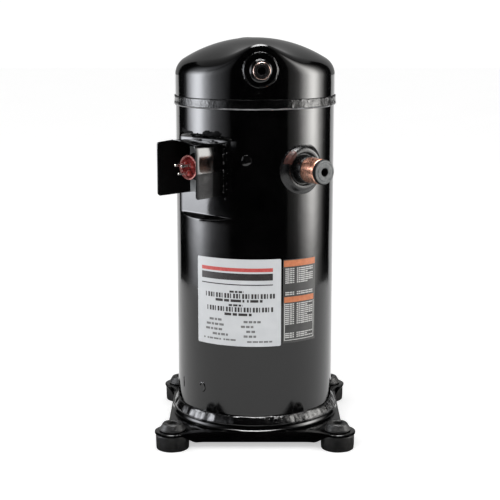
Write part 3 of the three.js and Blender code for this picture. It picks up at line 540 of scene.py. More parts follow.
def build_shell():
    columns = 288
    heights = list(np.arange(31.6, 258.0, 6.0)) + list(np.arange(258.0, 274.0, 1.1))
    heights += list(np.arange(274.0, 349.0, 3.0)) + list(np.arange(349.0, 365.0, 1.1))
    heights += list(np.arange(365.0, 392.0, 3.0)) + [392.6]
    rows = [(z, SHELL_R) for z in heights]
    inner = [(z, SHELL_R - WALL) for z in heights[::-1]]
    edge_low = [(31.0, SHELL_R - WALL + 0.5), (31.0, SHELL_R - 0.6)]
    edge_high = [(393.0, SHELL_R - 0.6), (393.0, SHELL_R - WALL + 0.5)]
    points = []
    for z, radius in edge_low + rows + edge_high + inner:
        for j in range(columns):
            azimuth = 360.0 * j / columns - 180.0
            r = shell_radius(azimuth, z, radius)
            x, y = math.sin(azimuth * RAD), -math.cos(azimuth * RAD)
            r += 0.05 * wobble(x * r, y * r, z, 70.0)
            points.append((x * r, y * r, z))
    total = len(points) // columns
    return make_object("shell_skin", points, grid_faces(total, columns))


PAD_OUT, PAD_SIDE = outward(PAD["az"]), sideways(PAD["az"])

def pad_gets_painted_reflection(centre, normal):
    """True on the flat of the pad between the fence walls, which gets a grey painted reflection."""
    return normal.dot(PAD_OUT) > 0.9 and 293 < centre.z < 350 and -24 < centre.dot(PAD_SIDE) < 26

# The pad between the fence walls is painted light grey as a painted reflection.
repaint(dress(build_shell(), PAINT, replaces=["center_shell"]), PAD_PAINTED_REFLECTION, pad_gets_painted_reflection)

# ---------------------------------------------------------------------------
# Top cap with the nose that carries the discharge port
# ---------------------------------------------------------------------------
def head_rows(offset):
    """Profile of the torispherical head, offset inward, from its wall to the apex."""
    knuckle_x = CAP_R - KNUCKLE_R
    centres = CROWN_R - KNUCKLE_R
    crown_z = CAP_APEX - CROWN_R
    knuckle_z = crown_z + math.sqrt(centres ** 2 - knuckle_x ** 2)
    tangent = math.acos(knuckle_x / centres)
    wall = CAP_R - offset
    rows = [(wall, z) for z in np.linspace(CAP_LOW + 0.7, knuckle_z, 15)]
    for i in range(1, 21):
        turn = tangent * i / 20
        rows.append((knuckle_x + (KNUCKLE_R - offset) * math.cos(turn),
                     knuckle_z + (KNUCKLE_R - offset) * math.sin(turn)))
    for i in range(1, 25):
        turn = tangent + (math.pi / 2 - tangent) * i / 24
        rows.append(((CROWN_R - offset) * math.cos(turn), crown_z + (CROWN_R - offset) * math.sin(turn)))
    rows[-1] = (0.0, rows[-1][1])
    return rows


NOSE = {"from": 28.0, "wide": 34.0, "rise": 30.0, "low": 413.0, "high": 431.0}

def nose_lift(x, y, z):
    """How far the front of the head is drawn up, at a point of the plain head."""
    r = math.hypot(x, y)
    forward = min(max((r - NOSE["from"]) / (CAP_R - NOSE["from"]), 0.0), 1.0) ** 3
    centre = CAP_R * math.sin(DISCHARGE["az"] * RAD)
    across = math.exp(-((x - centre) / NOSE["wide"]) ** 2)
    up_wall = float(smooth_step(NOSE["low"], NOSE["high"], z))
    front = float(smooth_step(0.0, NOSE["from"], -y))
    return NOSE["rise"] * forward * across * up_wall * front

def build_cap():
    columns = 256
    outer = head_rows(0.0)
    inner = head_rows(WALL)[::-1]
    rim = [(CAP_R - WALL + 0.4, CAP_LOW), (CAP_R - 0.7, CAP_LOW)]
    points = []
    for r, z in rim + outer + inner:
        for j in range(columns):
            turn = 2 * math.pi * j / columns - math.pi
            x, y = r * math.sin(turn), -r * math.cos(turn)
            lift = nose_lift(x, y, z)
            boss = 0.45 * float(smooth_step(8.0, 5.0, math.hypot(x + 11.0, y - 4.0)))
            uneven = 0.06 * wobble(x, y, z, 45.0)
            points.append((x, y, min(z + lift + boss + uneven, CAP_APEX)))
    total = len(points) // columns
    return make_object("cap_skin", points, grid_faces(total, columns))


dress(build_cap(), PAINT, replaces=["top_cap"])


# ---------------------------------------------------------------------------
# Girth welds
# ---------------------------------------------------------------------------
def build_bead(name, profile, columns, lump, seed, drift=0.0):
    """A weld laid round the shell: its section wanders and swells along the seam."""
    points = []
    for r, z in profile:
        for j in range(columns):
            turn = 2 * math.pi * j / columns
            x, y = math.sin(turn), -math.cos(turn)
            slow = noise.noise(Vector((x * 9, y * 9, seed)))
            quick = noise.noise(Vector((x * 34, y * 34, z / 4 + seed)))
            swell = lump * (0.9 * slow + 0.25 * quick)
            inward = r < SHELL_R + 0.8
            out = r if inward else r + swell
            points.append((out * x, out * y, z + (0.0 if inward else drift * slow)))
    return make_object(name, points, grid_faces(len(profile), columns))


UPPER_SECTION = [(92.7, 389.3), (93.2, 388.9), (94.0, 389.5), (94.7, 390.4), (94.9, 391.4), (94.6, 392.8),
                 (94.3, 394.4), (94.3, 396.4), (94.4, 398.2), (94.3, 399.9), (94.0, 400.4), (92.8, 400.6),
                 (92.7, 396.0)]
LOWER_SECTION = [(92.5, 27.2), (97.4, 25.4), (98.6, 25.7), (99.0, 26.8), (98.6, 28.4), (97.7, 30.2),
                 (96.6, 32.1), (95.3, 34.1), (94.1, 35.7), (93.1, 36.5), (92.4, 36.2)]
upper_bead = dress(build_bead("upper_weld", UPPER_SECTION, 480, 0.34, 3.7, 0.7), WELD,
                   replaces=["upper_weld_bead"])
# Painted shade: the top of the upper weld, in the crease under the cap, is painted near-black.
repaint(upper_bead, DULL_BLACK_AND_SHADE, lambda centre, normal: normal.z > 0.3 and centre.z > 398)
# Painted highlight: the downward faces of the upper weld are painted grey.
repaint(upper_bead, BEAD_PAINTED_HIGHLIGHT, lambda centre, normal: normal.z < -0.25 and centre.z < 390.6)
dress(build_bead("lower_weld", LOWER_SECTION, 480, 1.1, 8.1, 0.9), WELD,
      replaces=["lower_weld_bead"])


# ---------------------------------------------------------------------------
# Base plate: ears, rolled side flanges and the collar round the shell
# ---------------------------------------------------------------------------
def plate_outline():
    """Points round the plate, counter-clockwise seen from above."""
    half, flare = 56.0, 14.0
    near, far = FOOT - EAR_R * math.sin(50 * RAD), FOOT + EAR_R * math.cos(50 * RAD)
    side = [(x, -PLATE_SIDE) for x in np.linspace(-half, half, 33)]

    def bend(a, b, c, steps):
        return [tuple((1 - t) ** 2 * np.array(a) + 2 * t * (1 - t) * np.array(b) + t * t * np.array(c))
                for t in np.linspace(0, 1, steps + 2)[1:-1]]

    out_bend = bend((half, -PLATE_SIDE), (half + flare, -PLATE_SIDE), (near, -far), 8)
    ear = [(FOOT + EAR_R * math.cos(a * RAD), -FOOT + EAR_R * math.sin(a * RAD))
           for a in np.linspace(220, 410, 40)]
    in_bend = bend((far, -near), (PLATE_SIDE, -half - flare), (PLATE_SIDE, -half), 8)
    quarter = side + out_bend + ear + in_bend
    points = []
    for k in range(4):
        c, s = math.cos(k * math.pi / 2), math.sin(k * math.pi / 2)
        points += [(x * c - y * s, x * s + y * c) for x, y in quarter]
    return np.array(points)


def build_base():
    outline = plate_outline()
    count = len(outline)
    ahead = np.roll(outline, -1, 0) - np.roll(outline, 1, 0)
    ahead /= np.linalg.norm(ahead, axis=1)[:, None]
    inward = np.stack([-ahead[:, 1], ahead[:, 0]], 1)
    distance = np.linalg.norm(outline, axis=1)
    around = outline / distance[:, None]
    along = np.minimum(np.abs(outline[:, 0]), np.abs(outline[:, 1]))
    # The share of the rolled side flange that each point carries
    flange = 1 - smooth_step(67.0, 86.0, along)
    bend = 1.3 + 2.9 * flange
    bottom = PLATE_LOW - 10.1 * flange
    scale = np.clip((distance - 101.3) / 6.0, 0.06, 1.0)

    def top_height(points):
        gap = np.min(np.linalg.norm(points[:, None, :] - outline[None, :, :], axis=2), axis=1)
        inside = np.clip(bend - gap, 0, None)
        edge = PLATE_TOP - bend + np.sqrt(np.maximum(bend ** 2 - inside ** 2, 0))
        r = np.linalg.norm(points, axis=1)
        collar = PLATE_TOP - 0.6 + 5.2 * smooth_step(101.2, 95.6, r)
        return smooth_max(edge, collar, 0.5)

    rows = []

    def at_circle(radius, z):
        rows.append(np.column_stack([around * radius, np.broadcast_to(z, count)]))

    def at_edge(offset, z):
        edge = outline + inward * np.reshape(offset, (-1, 1))
        rows.append(np.column_stack([edge, np.broadcast_to(z, count)]))

    at_circle(91.2, 24.9)
    at_circle(94.5, 24.6)
    at_circle(96.4, PLATE_LOW)
    under = np.minimum(bend + 1.5, distance - 97.4)
    at_edge(np.maximum(under, 3.6), PLATE_LOW)
    foot = bottom + 0.8
    for offset, z in ((3.2, PLATE_LOW - 2.0 * flange), (3.0, bottom + 0.5), (2.4, bottom), (0.7, bottom),
                      (0.2, bottom + 0.25), (0.0, foot), (0.0, foot * 0.5 + (PLATE_TOP - bend) * 0.5)):
        at_edge(offset, z)
    for offset in (0.0, 0.12, 0.35, 0.75, 1.3, 2.0, 2.8, 3.7, 4.8):
        flat = outline + inward * (offset * scale)[:, None]
        rows.append(np.column_stack([flat, top_height(flat)]))
    for radius in (101.2, 100.6, 100.0, 99.3, 98.6, 98.0, 97.2, 96.4, 92.0):
        limit = np.minimum(radius, distance - 4.8 * scale - 0.02 * (101.4 - radius))
        flat = around * limit[:, None]
        rows.append(np.column_stack([flat, top_height(flat)]))
    points = [tuple(p) for row in rows for p in row]
    plate = make_object("base_plate", points, grid_faces(len(rows), count))
    drill = [(0, 10), (EAR_HOLE_R, 10), (EAR_HOLE_R, 30), (0, 30)]
    drills = [lathe("drill", drill, 48, upright(sx * FOOT, sy * FOOT), 0) for sx, sy in CORNERS.values()]
    return shade_by_angle(cut_with(plate, drills), 50)


dress(build_base(), PAINT, replaces=["mounting_base"])

# ---------------------------------------------------------------------------
# Rubber grommets
# ---------------------------------------------------------------------------
GROMMET = [(5.75, 0.5), (6.6, 0), (18.2, 0), (18.8, 0.7), (19.1, 6), (19.4, 13), (19.45, 16.2),
           (18.9, 17.9), (9.0, 18.0), (9.0, 21.6), (14.6, 21.6), (15.0, 22.4), (14.6, 24.2), (12.9, 26.9),
           (11.6, 29.4), (10.4, 30.4), (7.0, 30.5), (5.75, 29.6)]
for corner, (sx, sy) in CORNERS.items():
    grommet = lathe("foot_" + corner, GROMMET, 72, upright(sx * FOOT, sy * FOOT), 0.5, 0.32, 9.0)
    dress(grommet, RUBBER, replaces=["grommet_" + corner])

# ---------------------------------------------------------------------------
# Discharge port
# ---------------------------------------------------------------------------
discharge = port_place(DISCHARGE["az"], DISCHARGE["z"])


def ring_bead(name, place, radius, out, size, seed, lump=0.5, wall=None):
    """An uneven weld round a port, following the wall when its radius is given."""
    steps, sides = 120, 10
    points = []
    for i in range(steps):
        turn = 2 * math.pi * i / steps
        swell = 1 + lump * noise.noise(Vector((math.cos(turn) * 3.1, math.sin(turn) * 3.1, seed)))
        swell *= 1 + 0.6 * lump * noise.noise(Vector((math.cos(turn) * 9.0, math.sin(turn) * 9.0, seed)))
        drop = 0.0 if wall is None else wall - math.sqrt(wall ** 2 - (radius * math.cos(turn)) ** 2)
        for j in range(sides):
            around = 2 * math.pi * j / sides
            r = radius + size * swell * math.cos(around)
            rise = out - drop + size * 0.8 * swell * math.sin(around)
            points.append(place((r * math.cos(turn), r * math.sin(turn), rise)))
    faces = grid_faces(steps, sides)
    return make_object(name, points, [face[::-1] for face in faces])


DISCHARGE_SEAT = [(9.9, CAP_R - 8), (19.2, CAP_R - 8), (19.2, CAP_R - 0.9), (18.4, CAP_R + 0.1),
                  (13.6, CAP_R + 0.5), (11.8, CAP_R + 1.2), (10.9, CAP_R + 3.4), (9.9, CAP_R + 3.6)]
seat = lathe("discharge_seat", DISCHARGE_SEAT, 96, discharge, 0.6, 0.25, 6.0)
dress(seat, PAINT, replaces=["discharge_fitting"])
dress(ring_bead("discharge_weld", discharge, 18.9, CAP_R + 0.2, 1.0, 2.2, 1.0, CAP_R), WELD)

DISCHARGE_TUBE = [(DISCHARGE["bore"], 84), (DISCHARGE["tube"], 84), (DISCHARGE["tube"], 112.2),
                  (9.2, DISCHARGE["reach"]), (7.0, DISCHARGE["reach"]), (DISCHARGE["bore"], 112.5)]
tube = lathe("discharge_tube", DISCHARGE_TUBE, 64, discharge, 0.3, 0.1, 5.0)
dress(tube, worn_stub_material(DISCHARGE["az"], DISCHARGE["reach"]),
      replaces=["discharge_stub"])
DISCHARGE_CAP = [(0, 99), (5.3, 99), (6.3, 101), (6.3, 112.2), (7.6, 113.3), (7.6, 114.2), (7.1, 114.5),
                 (4.9, 114.5), (4.6, 114.1), (4.4, 106.5), (0, 106.5)]
plug = lathe("discharge_cap_plug", DISCHARGE_CAP, 64, discharge, 0.25, 0.08, 5.0)
dress(plug, BLACK_RUBBER_AND_SHADE, "discharge_cap", ["discharge_plug"])

# ---------------------------------------------------------------------------
# Suction port
# ---------------------------------------------------------------------------
suction = port_place(SUCTION["az"], SUCTION["z"])


# Radius from the port's axis, and height above the shell
SUCTION_SEAT = [(14.5, -14.7), (32.0, -14.7), (32.2, -0.6), (29.4, -0.2), (27.0, 0.5), (25.2, 1.8),
                (23.6, 3.3), (22.2, 3.9), (19.4, 3.9), (18.4, 3.2), (17.8, 1.0), (16.2, 0.8), (15.6, 2.2),
                (15.3, 12.0), (14.9, 13.0), (14.5, 13.0)]

def build_suction_seat():
    """Drawn ring round the suction port; its skirt follows the round wall."""
    profile = rounded([(r, SHELL_R + rise) for r, rise in SUCTION_SEAT], 0.8)
    segments = 160
    points = []
    for x, y, z in lathe_points(profile, segments):
        r = math.hypot(x, y)
        drop = (SHELL_R - math.sqrt(SHELL_R ** 2 - x * x)) * float(smooth_step(23.5, 30.0, r))
        drop += 0.35 * float(smooth_step(28.5, 32.0, r))
        points.append(suction((x, y, z - drop)))
    return make_object("suction_seat", points, grid_faces(len(profile), segments))

def seat_is_tinted(centre, normal):
    """True on the upper left of the ring, where brazing has tinted the enamel."""
    side, rise = centre.dot(sideways(SUCTION["az"])), centre.z - SUCTION["z"]
    turn = math.degrees(math.atan2(rise, side)) + 8 * wobble(centre.x, centre.y, centre.z, 5.0)
    return 124 < turn < 164 and 19.5 < math.hypot(side, rise) < 27.5

seat = dress(build_suction_seat(), SEAT_ENAMEL, replaces=["suction_fitting"])
repaint(seat, HEAT_TINT, seat_is_tinted)
SUCTION_TUBE = [(SUCTION["bore"], 84), (SUCTION["tube"], 84), (SUCTION["tube"], SUCTION_END - 0.7),
                (13.6, SUCTION_END), (SUCTION["bore"], SUCTION_END)]
tube = lathe("suction_tube", SUCTION_TUBE, 96, suction, 0.25, 0.015, 14.0)
dress(tube, COPPER, replaces=["suction_stub"])
braze = ring_bead("suction_braze", suction, 14.6, SHELL_R + 13.1, 0.7, 5.5, 0.8)
dress(braze, WELD)
SUCTION_CAP = [(0, 115), (11.1, 115), (12.1, 117), (12.1, 127.8), (14.1, 127.8), (14.1, 130.4),
               (13.0, 131.9), (11.6, 132.3), (11.1, 131.8), (9.7, 131.8), (9.2, 132.3), (5.4, 132.3),
               (4.6, 131.6), (4.3, 118.3), (0, 118.3)]
plug = lathe("suction_cap_plug", SUCTION_CAP, 72, suction, 0.3, 0.08, 6.0)
dress(plug, GREY_PLUG, "suction_cap", ["suction_plug"])
SUCTION_OUT = outward(SUCTION["az"])


def plug_gets_painted_shade(centre, normal):
    """True inside the blind hole and round the side of the flange, where near-black is painted as shade."""
    off = off_axis(centre, SUCTION["az"], SUCTION["z"])
    in_hole = off < 4.8 and centre.dot(SUCTION_OUT) < 131.9
    return in_hole or (off > 12.7 and normal.dot(SUCTION_OUT) < 0.8)


# Painted shade: the grey plug's blind hole and the side of its flange take the near-black rubber.
repaint(plug, BLACK_RUBBER_AND_SHADE, plug_gets_painted_shade)

# ---------------------------------------------------------------------------
# Terminal fence, cup, seals and pins
# ---------------------------------------------------------------------------
FENCE = {"left": -31.0, "right": 29.0, "low": 291.5, "high": 351.0, "root": 84.3, "reach": 127.5, "bend": 4.0,
         "sheet": 1.3, "rim": 106.5, "turn": -15.0, "rise": 2.2, "splay": 6.0}
pad_place = port_place(PAD["az"], 0.0)

def fence_path():
    """Outside line of the fence, from its lower left corner over the roof to the lower right."""
    low, high, r = FENCE["low"], FENCE["high"], FENCE["bend"]
    left, right = FENCE["left"], FENCE["right"]
    steps = [0.0, 0.25, 0.7, 1.3, 2.1, 3.0]
    wall = [low + s for s in steps] + list(np.linspace(low + 8, high - r, 8))
    path = [(left, v) for v in wall]
    path += [(left + r - r * math.cos(a * RAD), high - r + r * math.sin(a * RAD))
             for a in (15, 30, 44, 49, 60, 75, 90)]
    path += [(u, high) for u in np.linspace(left + r + 3, FENCE["turn"], 4)]
    path += [(u, high) for u in np.linspace(FENCE["turn"] + 4, right - r, 9)]
    path += [(right - r + r * math.sin(a * RAD), high - r + r * math.cos(a * RAD))
             for a in (15, 30, 45, 60, 75)]
    path += [(right, v) for v in wall[::-1]]
    return path

def leftness(u):
    """0 at the right wall of the fence, 1 at the left."""
    return min(max((FENCE["right"] - u) / (FENCE["right"] - FENCE["left"]), 0.0), 1.0)

def fence_reach(u, v):
    """How far out the sheet runs at a point of that line: rounded at its feet, cut back over the roof."""
    rise, corner = v - FENCE["low"], 3.0
    reach = FENCE["reach"] + 1.5 - 4.2 * (u - FENCE["left"]) / (FENCE["right"] - FENCE["left"])
    if rise < corner:
        return reach - (corner - math.sqrt(max(corner ** 2 - (corner - rise) ** 2, 0.0)))
    if v > FENCE["high"] - FENCE["bend"] and u > FENCE["left"] + FENCE["sheet"]:
        slope = (u - FENCE["turn"]) / (FENCE["right"] - FENCE["sheet"] - FENCE["turn"])
        return FENCE["rim"] + (reach - FENCE["rim"]) * min(max(slope, 0.0), 1.0)
    return reach

def fence_lean(u, v):
    """How far the right wall leans in: at its foot, under the roof and a little all the way up."""
    if u < FENCE["right"] - 6:
        return 0.0
    foot = 1 - smooth_step(FENCE["low"], FENCE["low"] + 26, v)
    head = smooth_step(FENCE["high"] - 13, FENCE["high"], v)
    tilt = (v - FENCE["low"]) / (FENCE["high"] - FENCE["low"])
    return float(-1.3 * foot - 0.9 * head - 1.6 * tilt)

def build_fence():
    """Folded sheet round the terminal; its left wall stands askew and a little higher."""
    path = fence_path()
    rows = 9
    points = []
    for i in range(rows):
        share = i / (rows - 1)
        for u, v in path:
            out = FENCE["root"] + (fence_reach(u, v) - FENCE["root"]) * share
            sag = 0.18 * wobble(u, v, out, 26.0)
            lift = FENCE["rise"] * leftness(u) * float(smooth_step(FENCE["low"] + 20, FENCE["high"], v))
            aside = sag + fence_lean(u, v) + FENCE["splay"] * (1 - share) * leftness(u)
            points.append(pad_place((u + aside, v + sag + lift, out)))
    faces = grid_faces(rows, len(path), close_rows=False, close_columns=False)
    fence = make_object("terminal_guard", points, faces)
    solidify = fence.modifiers.new("sheet", "SOLIDIFY")
    solidify.thickness = FENCE["sheet"] * MM
    solidify.offset = 1.0
    bevel = fence.modifiers.new("edge", "BEVEL")
    bevel.width = 0.38 * MM
    bevel.segments = 2
    bevel.limit_method = "ANGLE"
    bevel.angle_limit = 55 * RAD
    return shade_by_angle(apply_modifiers(fence), 50)

def low_on_right_wall(centre, normal):
    """True on the lower half of the right wall's outer face."""
    return normal.dot(PAD_SIDE) > 0.5 and centre.dot(PAD_SIDE) > 20 and centre.z < 321.0

def guard_gets_painted_shade(centre, normal):
    """True inside the left wall, and low on the right wall next to the pad: faces painted near-black as
    painted shade.
    """
    inside_left = normal.dot(PAD_SIDE) > 0.5 and centre.dot(PAD_SIDE) < -15
    return inside_left or (low_on_right_wall(centre, normal) and centre.dot(PAD_OUT) <= 98)

def guard_gets_soft_shade(centre, normal):
    """True low on the right wall, on its free half: faces painted a softer black as painted shade."""
    return low_on_right_wall(centre, normal) and centre.dot(PAD_OUT) > 98

fence = dress(build_fence(), PAINT, replaces=["terminal_fence"])
# Painted shade: the inside of the left wall and the lower right wall are painted darker and duller than the
# rest of the fence.
repaint(fence, DULL_BLACK_AND_SHADE, guard_gets_painted_shade)
repaint(fence, GUARD_SOFT_SHADE, guard_gets_soft_shade)

def build_fence_welds():
    """Short uneven welds along the foot of the guard, with a few beads of spatter."""
    parts = []
    out = PAD["d"] + 0.5
    for u, low, high, seed in ((-25.9, 297, 312, 1.0), (-25.9, 326, 344, 2.0), (29.9, 295, 309, 3.0),
                               (29.9, 314, 322, 6.5), (29.9, 327, 346, 4.0)):
        path = [pad_place((u + 0.5 * wobble(u, z, 0, 5.0), z, out)) for z in np.linspace(low, high, 26)]
        parts.append(lumpy_tube(path, 1.25, 0.8, seed))
    roof = FENCE["high"] + 0.9
    for low, high, seed in ((-22, -4, 7.0), (3, 21, 9.0)):
        path = [pad_place((u, roof + 0.5 * wobble(u, 3, 0, 5.0), out)) for u in np.linspace(low, high, 26)]
        parts.append(lumpy_tube(path, 1.3, 0.8, seed))
    for u, z, size in ((33.5, 349, 1.0), (35.2, 341, 0.8), (34.4, 300, 0.7), (32.6, 289, 1.1),
                       (34.8, 333, 0.6), (25, 355, 0.9), (-35, 338, 0.7), (34.0, 306, 0.5), (36.0, 318, 0.6)):
        path = [pad_place((u + k * 0.5 * size, z + 0.3 * k, out - 0.35)) for k in np.linspace(-1.6, 1.6, 7)]
        parts.append(lumpy_tube(path, size, 0.5, u))
    for u, z, size in ((31.2, 350, 0.9), (32.5, 345.5, 0.7), (30.8, 338, 0.8), (33.6, 329, 0.6),
                       (30.6, 312, 0.7), (35.5, 351, 0.6), (24, 358, 0.7)):
        path = [pad_place((u + 0.6 * k, z + 0.5 * k, out + 1.6)) for k in np.linspace(-1.2, 1.2, 7)]
        parts.append(lumpy_tube(path, size, 0.6, z))
    return join_parts("guard_welds", parts)


dress(build_fence_welds(), WELD)


def build_shade_lumps():
    """Dull black lumps along the upper edge of the pad, which put painted shade on its dark top step."""
    parts = []
    for first, last, z, size, seed in ((-33, -19, 362.5, 2.6, 2.0), (-24, -8, 361.0, 2.0, 5.0),
                                       (-6, 8, 360.0, 1.5, 8.0), (4, 30, 361.5, 3.2, 11.0)):
        path = []
        for u in np.linspace(first, last, 24):
            height = z + 1.2 * wobble(u, seed, 0, 6.0)
            azimuth = PAD["az"] + math.atan2(u, PAD["d"]) / RAD
            path.append(port_place(azimuth, 0.0)((0, height, shell_radius(azimuth, height, SHELL_R) - 0.5)))
        parts.append(lumpy_tube(path, size, 0.5, seed, sides=14, flat=0.35))
    return join_parts("pad_step_painted_shade", parts)


# Painted shade: near-black lumps laid along the pad's top step.
dress(build_shade_lumps(), DULL_BLACK_AND_SHADE)
TERMINAL = {"shift": -12.0, "z": 322.0, "face": 99.0}
terminal_axis = port_place(PAD["az"], TERMINAL["z"])


def on_terminal(dx, dy):
    def place(point):
        return terminal_axis((point[0] + TERMINAL["shift"] + dx, point[1] + dy, point[2]))

    return place


FACE = TERMINAL["face"]
CUP = [(0, FACE - 3.5), (11, FACE - 3.5), (11, PAD["d"] - 7), (14, PAD["d"] - 7), (14, PAD["d"] + 0.2),
       (16, PAD["d"] + 0.2), (16, PAD["d"] + 1.7), (14.6, PAD["d"] + 2.6), (14, PAD["d"] + 3.4),
       (14, FACE - 0.4), (13.2, FACE + 0.3), (12.6, FACE + 0.3), (12.0, FACE - 2.2), (0, FACE - 2.4)]
cup = lathe("terminal_body_cup", CUP, 72, on_terminal(0, 0), 0.3, 0.06, 6.0)
dress(cup, CUP_COPPER, replaces=["terminal_cup"])


def cup_is_floor(centre, normal):
    """True on the floor of the recess in the cup's face."""
    return FACE - 3.2 < centre.dot(PAD_OUT) < FACE - 1.2 and normal.dot(PAD_OUT) > 0.8

def cup_is_outside(centre, normal):
    """True round the outside of the cup and on its flange."""
    off = off_axis(centre, PAD["az"], TERMINAL["z"], TERMINAL["shift"])
    return centre.dot(PAD_OUT) < FACE - 0.9 and off > 13.4

repaint(cup, CUP_FLOOR, cup_is_floor)
repaint(cup, DULL_BLACK_AND_SHADE, cup_is_outside)
PIN_SPOTS = [(0.0, -6.0), (5.196, 3.0), (-5.196, 3.0)]
SEAL = [(1.2, FACE - 3), (4.2, FACE - 3), (4.1, FACE - 0.9), (3.6, FACE + 0.2), (2.7, FACE + 1.2),
        (1.9, FACE + 1.7), (1.2, FACE + 1.8)]
PIN = [(0, PAD["d"] - 8), (1.6, PAD["d"] - 8), (1.6, 112.8), (1.25, 114.4), (0.7, 115.0), (0, 115.0)]
for index, (dx, dy) in enumerate(PIN_SPOTS, 1):
    seal = lathe(f"terminal_bead_{index}", SEAL, 40, on_terminal(dx, dy), 0.3, 0.1, 3.0)
    dress(seal, SEAL_GLASS, replaces=[f"terminal_seal_{index}"])
    pin = lathe(f"terminal_post_{index}", PIN, 32, on_terminal(dx, dy), 0.3)
    dress(pin, PIN_STEEL, replaces=[f"terminal_pin_{index}"])


# ---------------------------------------------------------------------------
# Marks on the shell: three plug welds, a curved nick, a scrape and specks
# ---------------------------------------------------------------------------
def wall_point(azimuth, z, out=0.0):
    r = SHELL_R + out
    return (r * math.sin(azimuth * RAD), -r * math.cos(azimuth * RAD), z)


def build_plug_weld(name, azimuth, z, radius, height):
    """A low, slightly uneven weld nugget under the paint."""
    place = port_place(azimuth, z)
    rings, segments = 9, 40
    points = []
    for i in range(rings + 1):
        share = i / rings
        for j in range(segments):
            turn = 2 * math.pi * j / segments
            uneven = noise.noise(Vector((math.cos(turn) * 2, math.sin(turn) * 2, azimuth)))
            r = radius * share * (1 + 0.12 * uneven)
            x, y = r * math.cos(turn), r * math.sin(turn)
            rise = height * (1 - share ** 2.6) - 0.3 * share ** 6
            out = math.sqrt(SHELL_R ** 2 - x * x) + rise
            points.append(place((x, y, out)))
    for share in (1.0, 0.0):
        for j in range(segments):
            turn = 2 * math.pi * j / segments
            x, y = radius * share * math.cos(turn), radius * share * math.sin(turn)
            points.append(place((x, y, SHELL_R - 1.6)))
    faces = grid_faces(rings + 3, segments, close_rows=False)
    return make_object(name, points, [face[::-1] for face in faces])


for index, azimuth in enumerate((-6.3, 113.7, -126.3), 1):
    dress(build_plug_weld(f"plug_weld_{index}", azimuth, 333.0, 6.4, 1.1), WELD)


def build_marks():
    parts = []
    arc = [wall_point(-41.8 + 2.6 * math.sin(a * RAD), 64.6 + 5.2 * math.cos(a * RAD), 0.1)
           for a in np.linspace(-70, 168, 30)]
    parts.append(lumpy_tube(arc, 1.15, 0.5, 11.0, flat=0.7))
    hook = [wall_point(-44.0 + 0.5 * t, 69.5 - 3.4 * t, 0.1) for t in np.linspace(0, 1, 12)]
    parts.append(lumpy_tube(hook, 0.9, 0.5, 12.0, flat=0.7))
    scrape = [wall_point(-65.8 + 0.8 * t, 69.0 - 13.0 * t, 0.05) for t in np.linspace(0, 1, 24)]
    parts.append(lumpy_tube(scrape, 0.8, 0.5, 13.0, flat=0.7))
    for azimuth, z, size in ((2.0, 407.5, 0.45), (21.0, 300.5, 0.4), (22.6, 299.5, 0.5), (58.0, 352.0, 0.35)):
        out = CAP_R - SHELL_R - 0.1 if z > CAP_LOW else 0.0
        nick = [wall_point(azimuth + 0.35 * k, z + 0.7 * k, out) for k in np.linspace(-1, 1, 8)]
        parts.append(lumpy_tube(nick, size, 0.5, z, flat=0.7))
    return join_parts("shell_marks", parts)


dress(build_marks(), WELD)


# ---------------------------------------------------------------------------
# Labels: plain film, blocks and rules only, no lettering
# ---------------------------------------------------------------------------
def film_sheet(name, spec, columns, corner):
    """A thin closed sheet wrapped on the shell, its corners rounded."""
    width = SHELL_R * RAD * (spec["to"] - spec["from"])
    near_ends = [corner * k / width for k in (0.15, 0.4, 0.7, 1.0)]
    cross = sorted({*np.linspace(0, 1, columns + 1), *near_ends, *(1 - s for s in near_ends)})
    steps = 8

    def edge_line(edge, inward, out):
        """The upper or lower edge, pulled in at its ends."""
        line = []
        for s in cross:
            gap = min(s, 1 - s) * width
            pull = corner - math.sqrt(max(corner ** 2 - max(corner - gap, 0.0) ** 2, 0.0))
            azimuth = spec["from"] + s * (spec["to"] - spec["from"])
            line.append(wall_point(azimuth, edge + inward * pull, out - SHELL_R))
        return line

    def rows_between(first, last):
        return [[tuple((1 - t) * np.array(a) + t * np.array(b)) for a, b in zip(first, last)]
                for t in np.arange(steps + 1) / steps]

    rows = rows_between(edge_line(spec["low"], 1, LABEL_OUT), edge_line(spec["high"], -1, LABEL_OUT))
    rows += rows_between(edge_line(spec["high"], -1, LABEL_IN), edge_line(spec["low"], 1, LABEL_IN))
    count, last = len(cross), len(cross) - 1
    faces = grid_faces(len(rows), count, close_columns=False)
    for i in range(steps):
        a, b, c, d = (row * count for row in (i, i + 1, len(rows) - 2 - i, len(rows) - 1 - i))
        faces += [(a, b, c, d), (d + last, c + last, b + last, a + last)]
    return shade_by_angle(make_object(name, [p for row in rows for p in row], faces), 40)

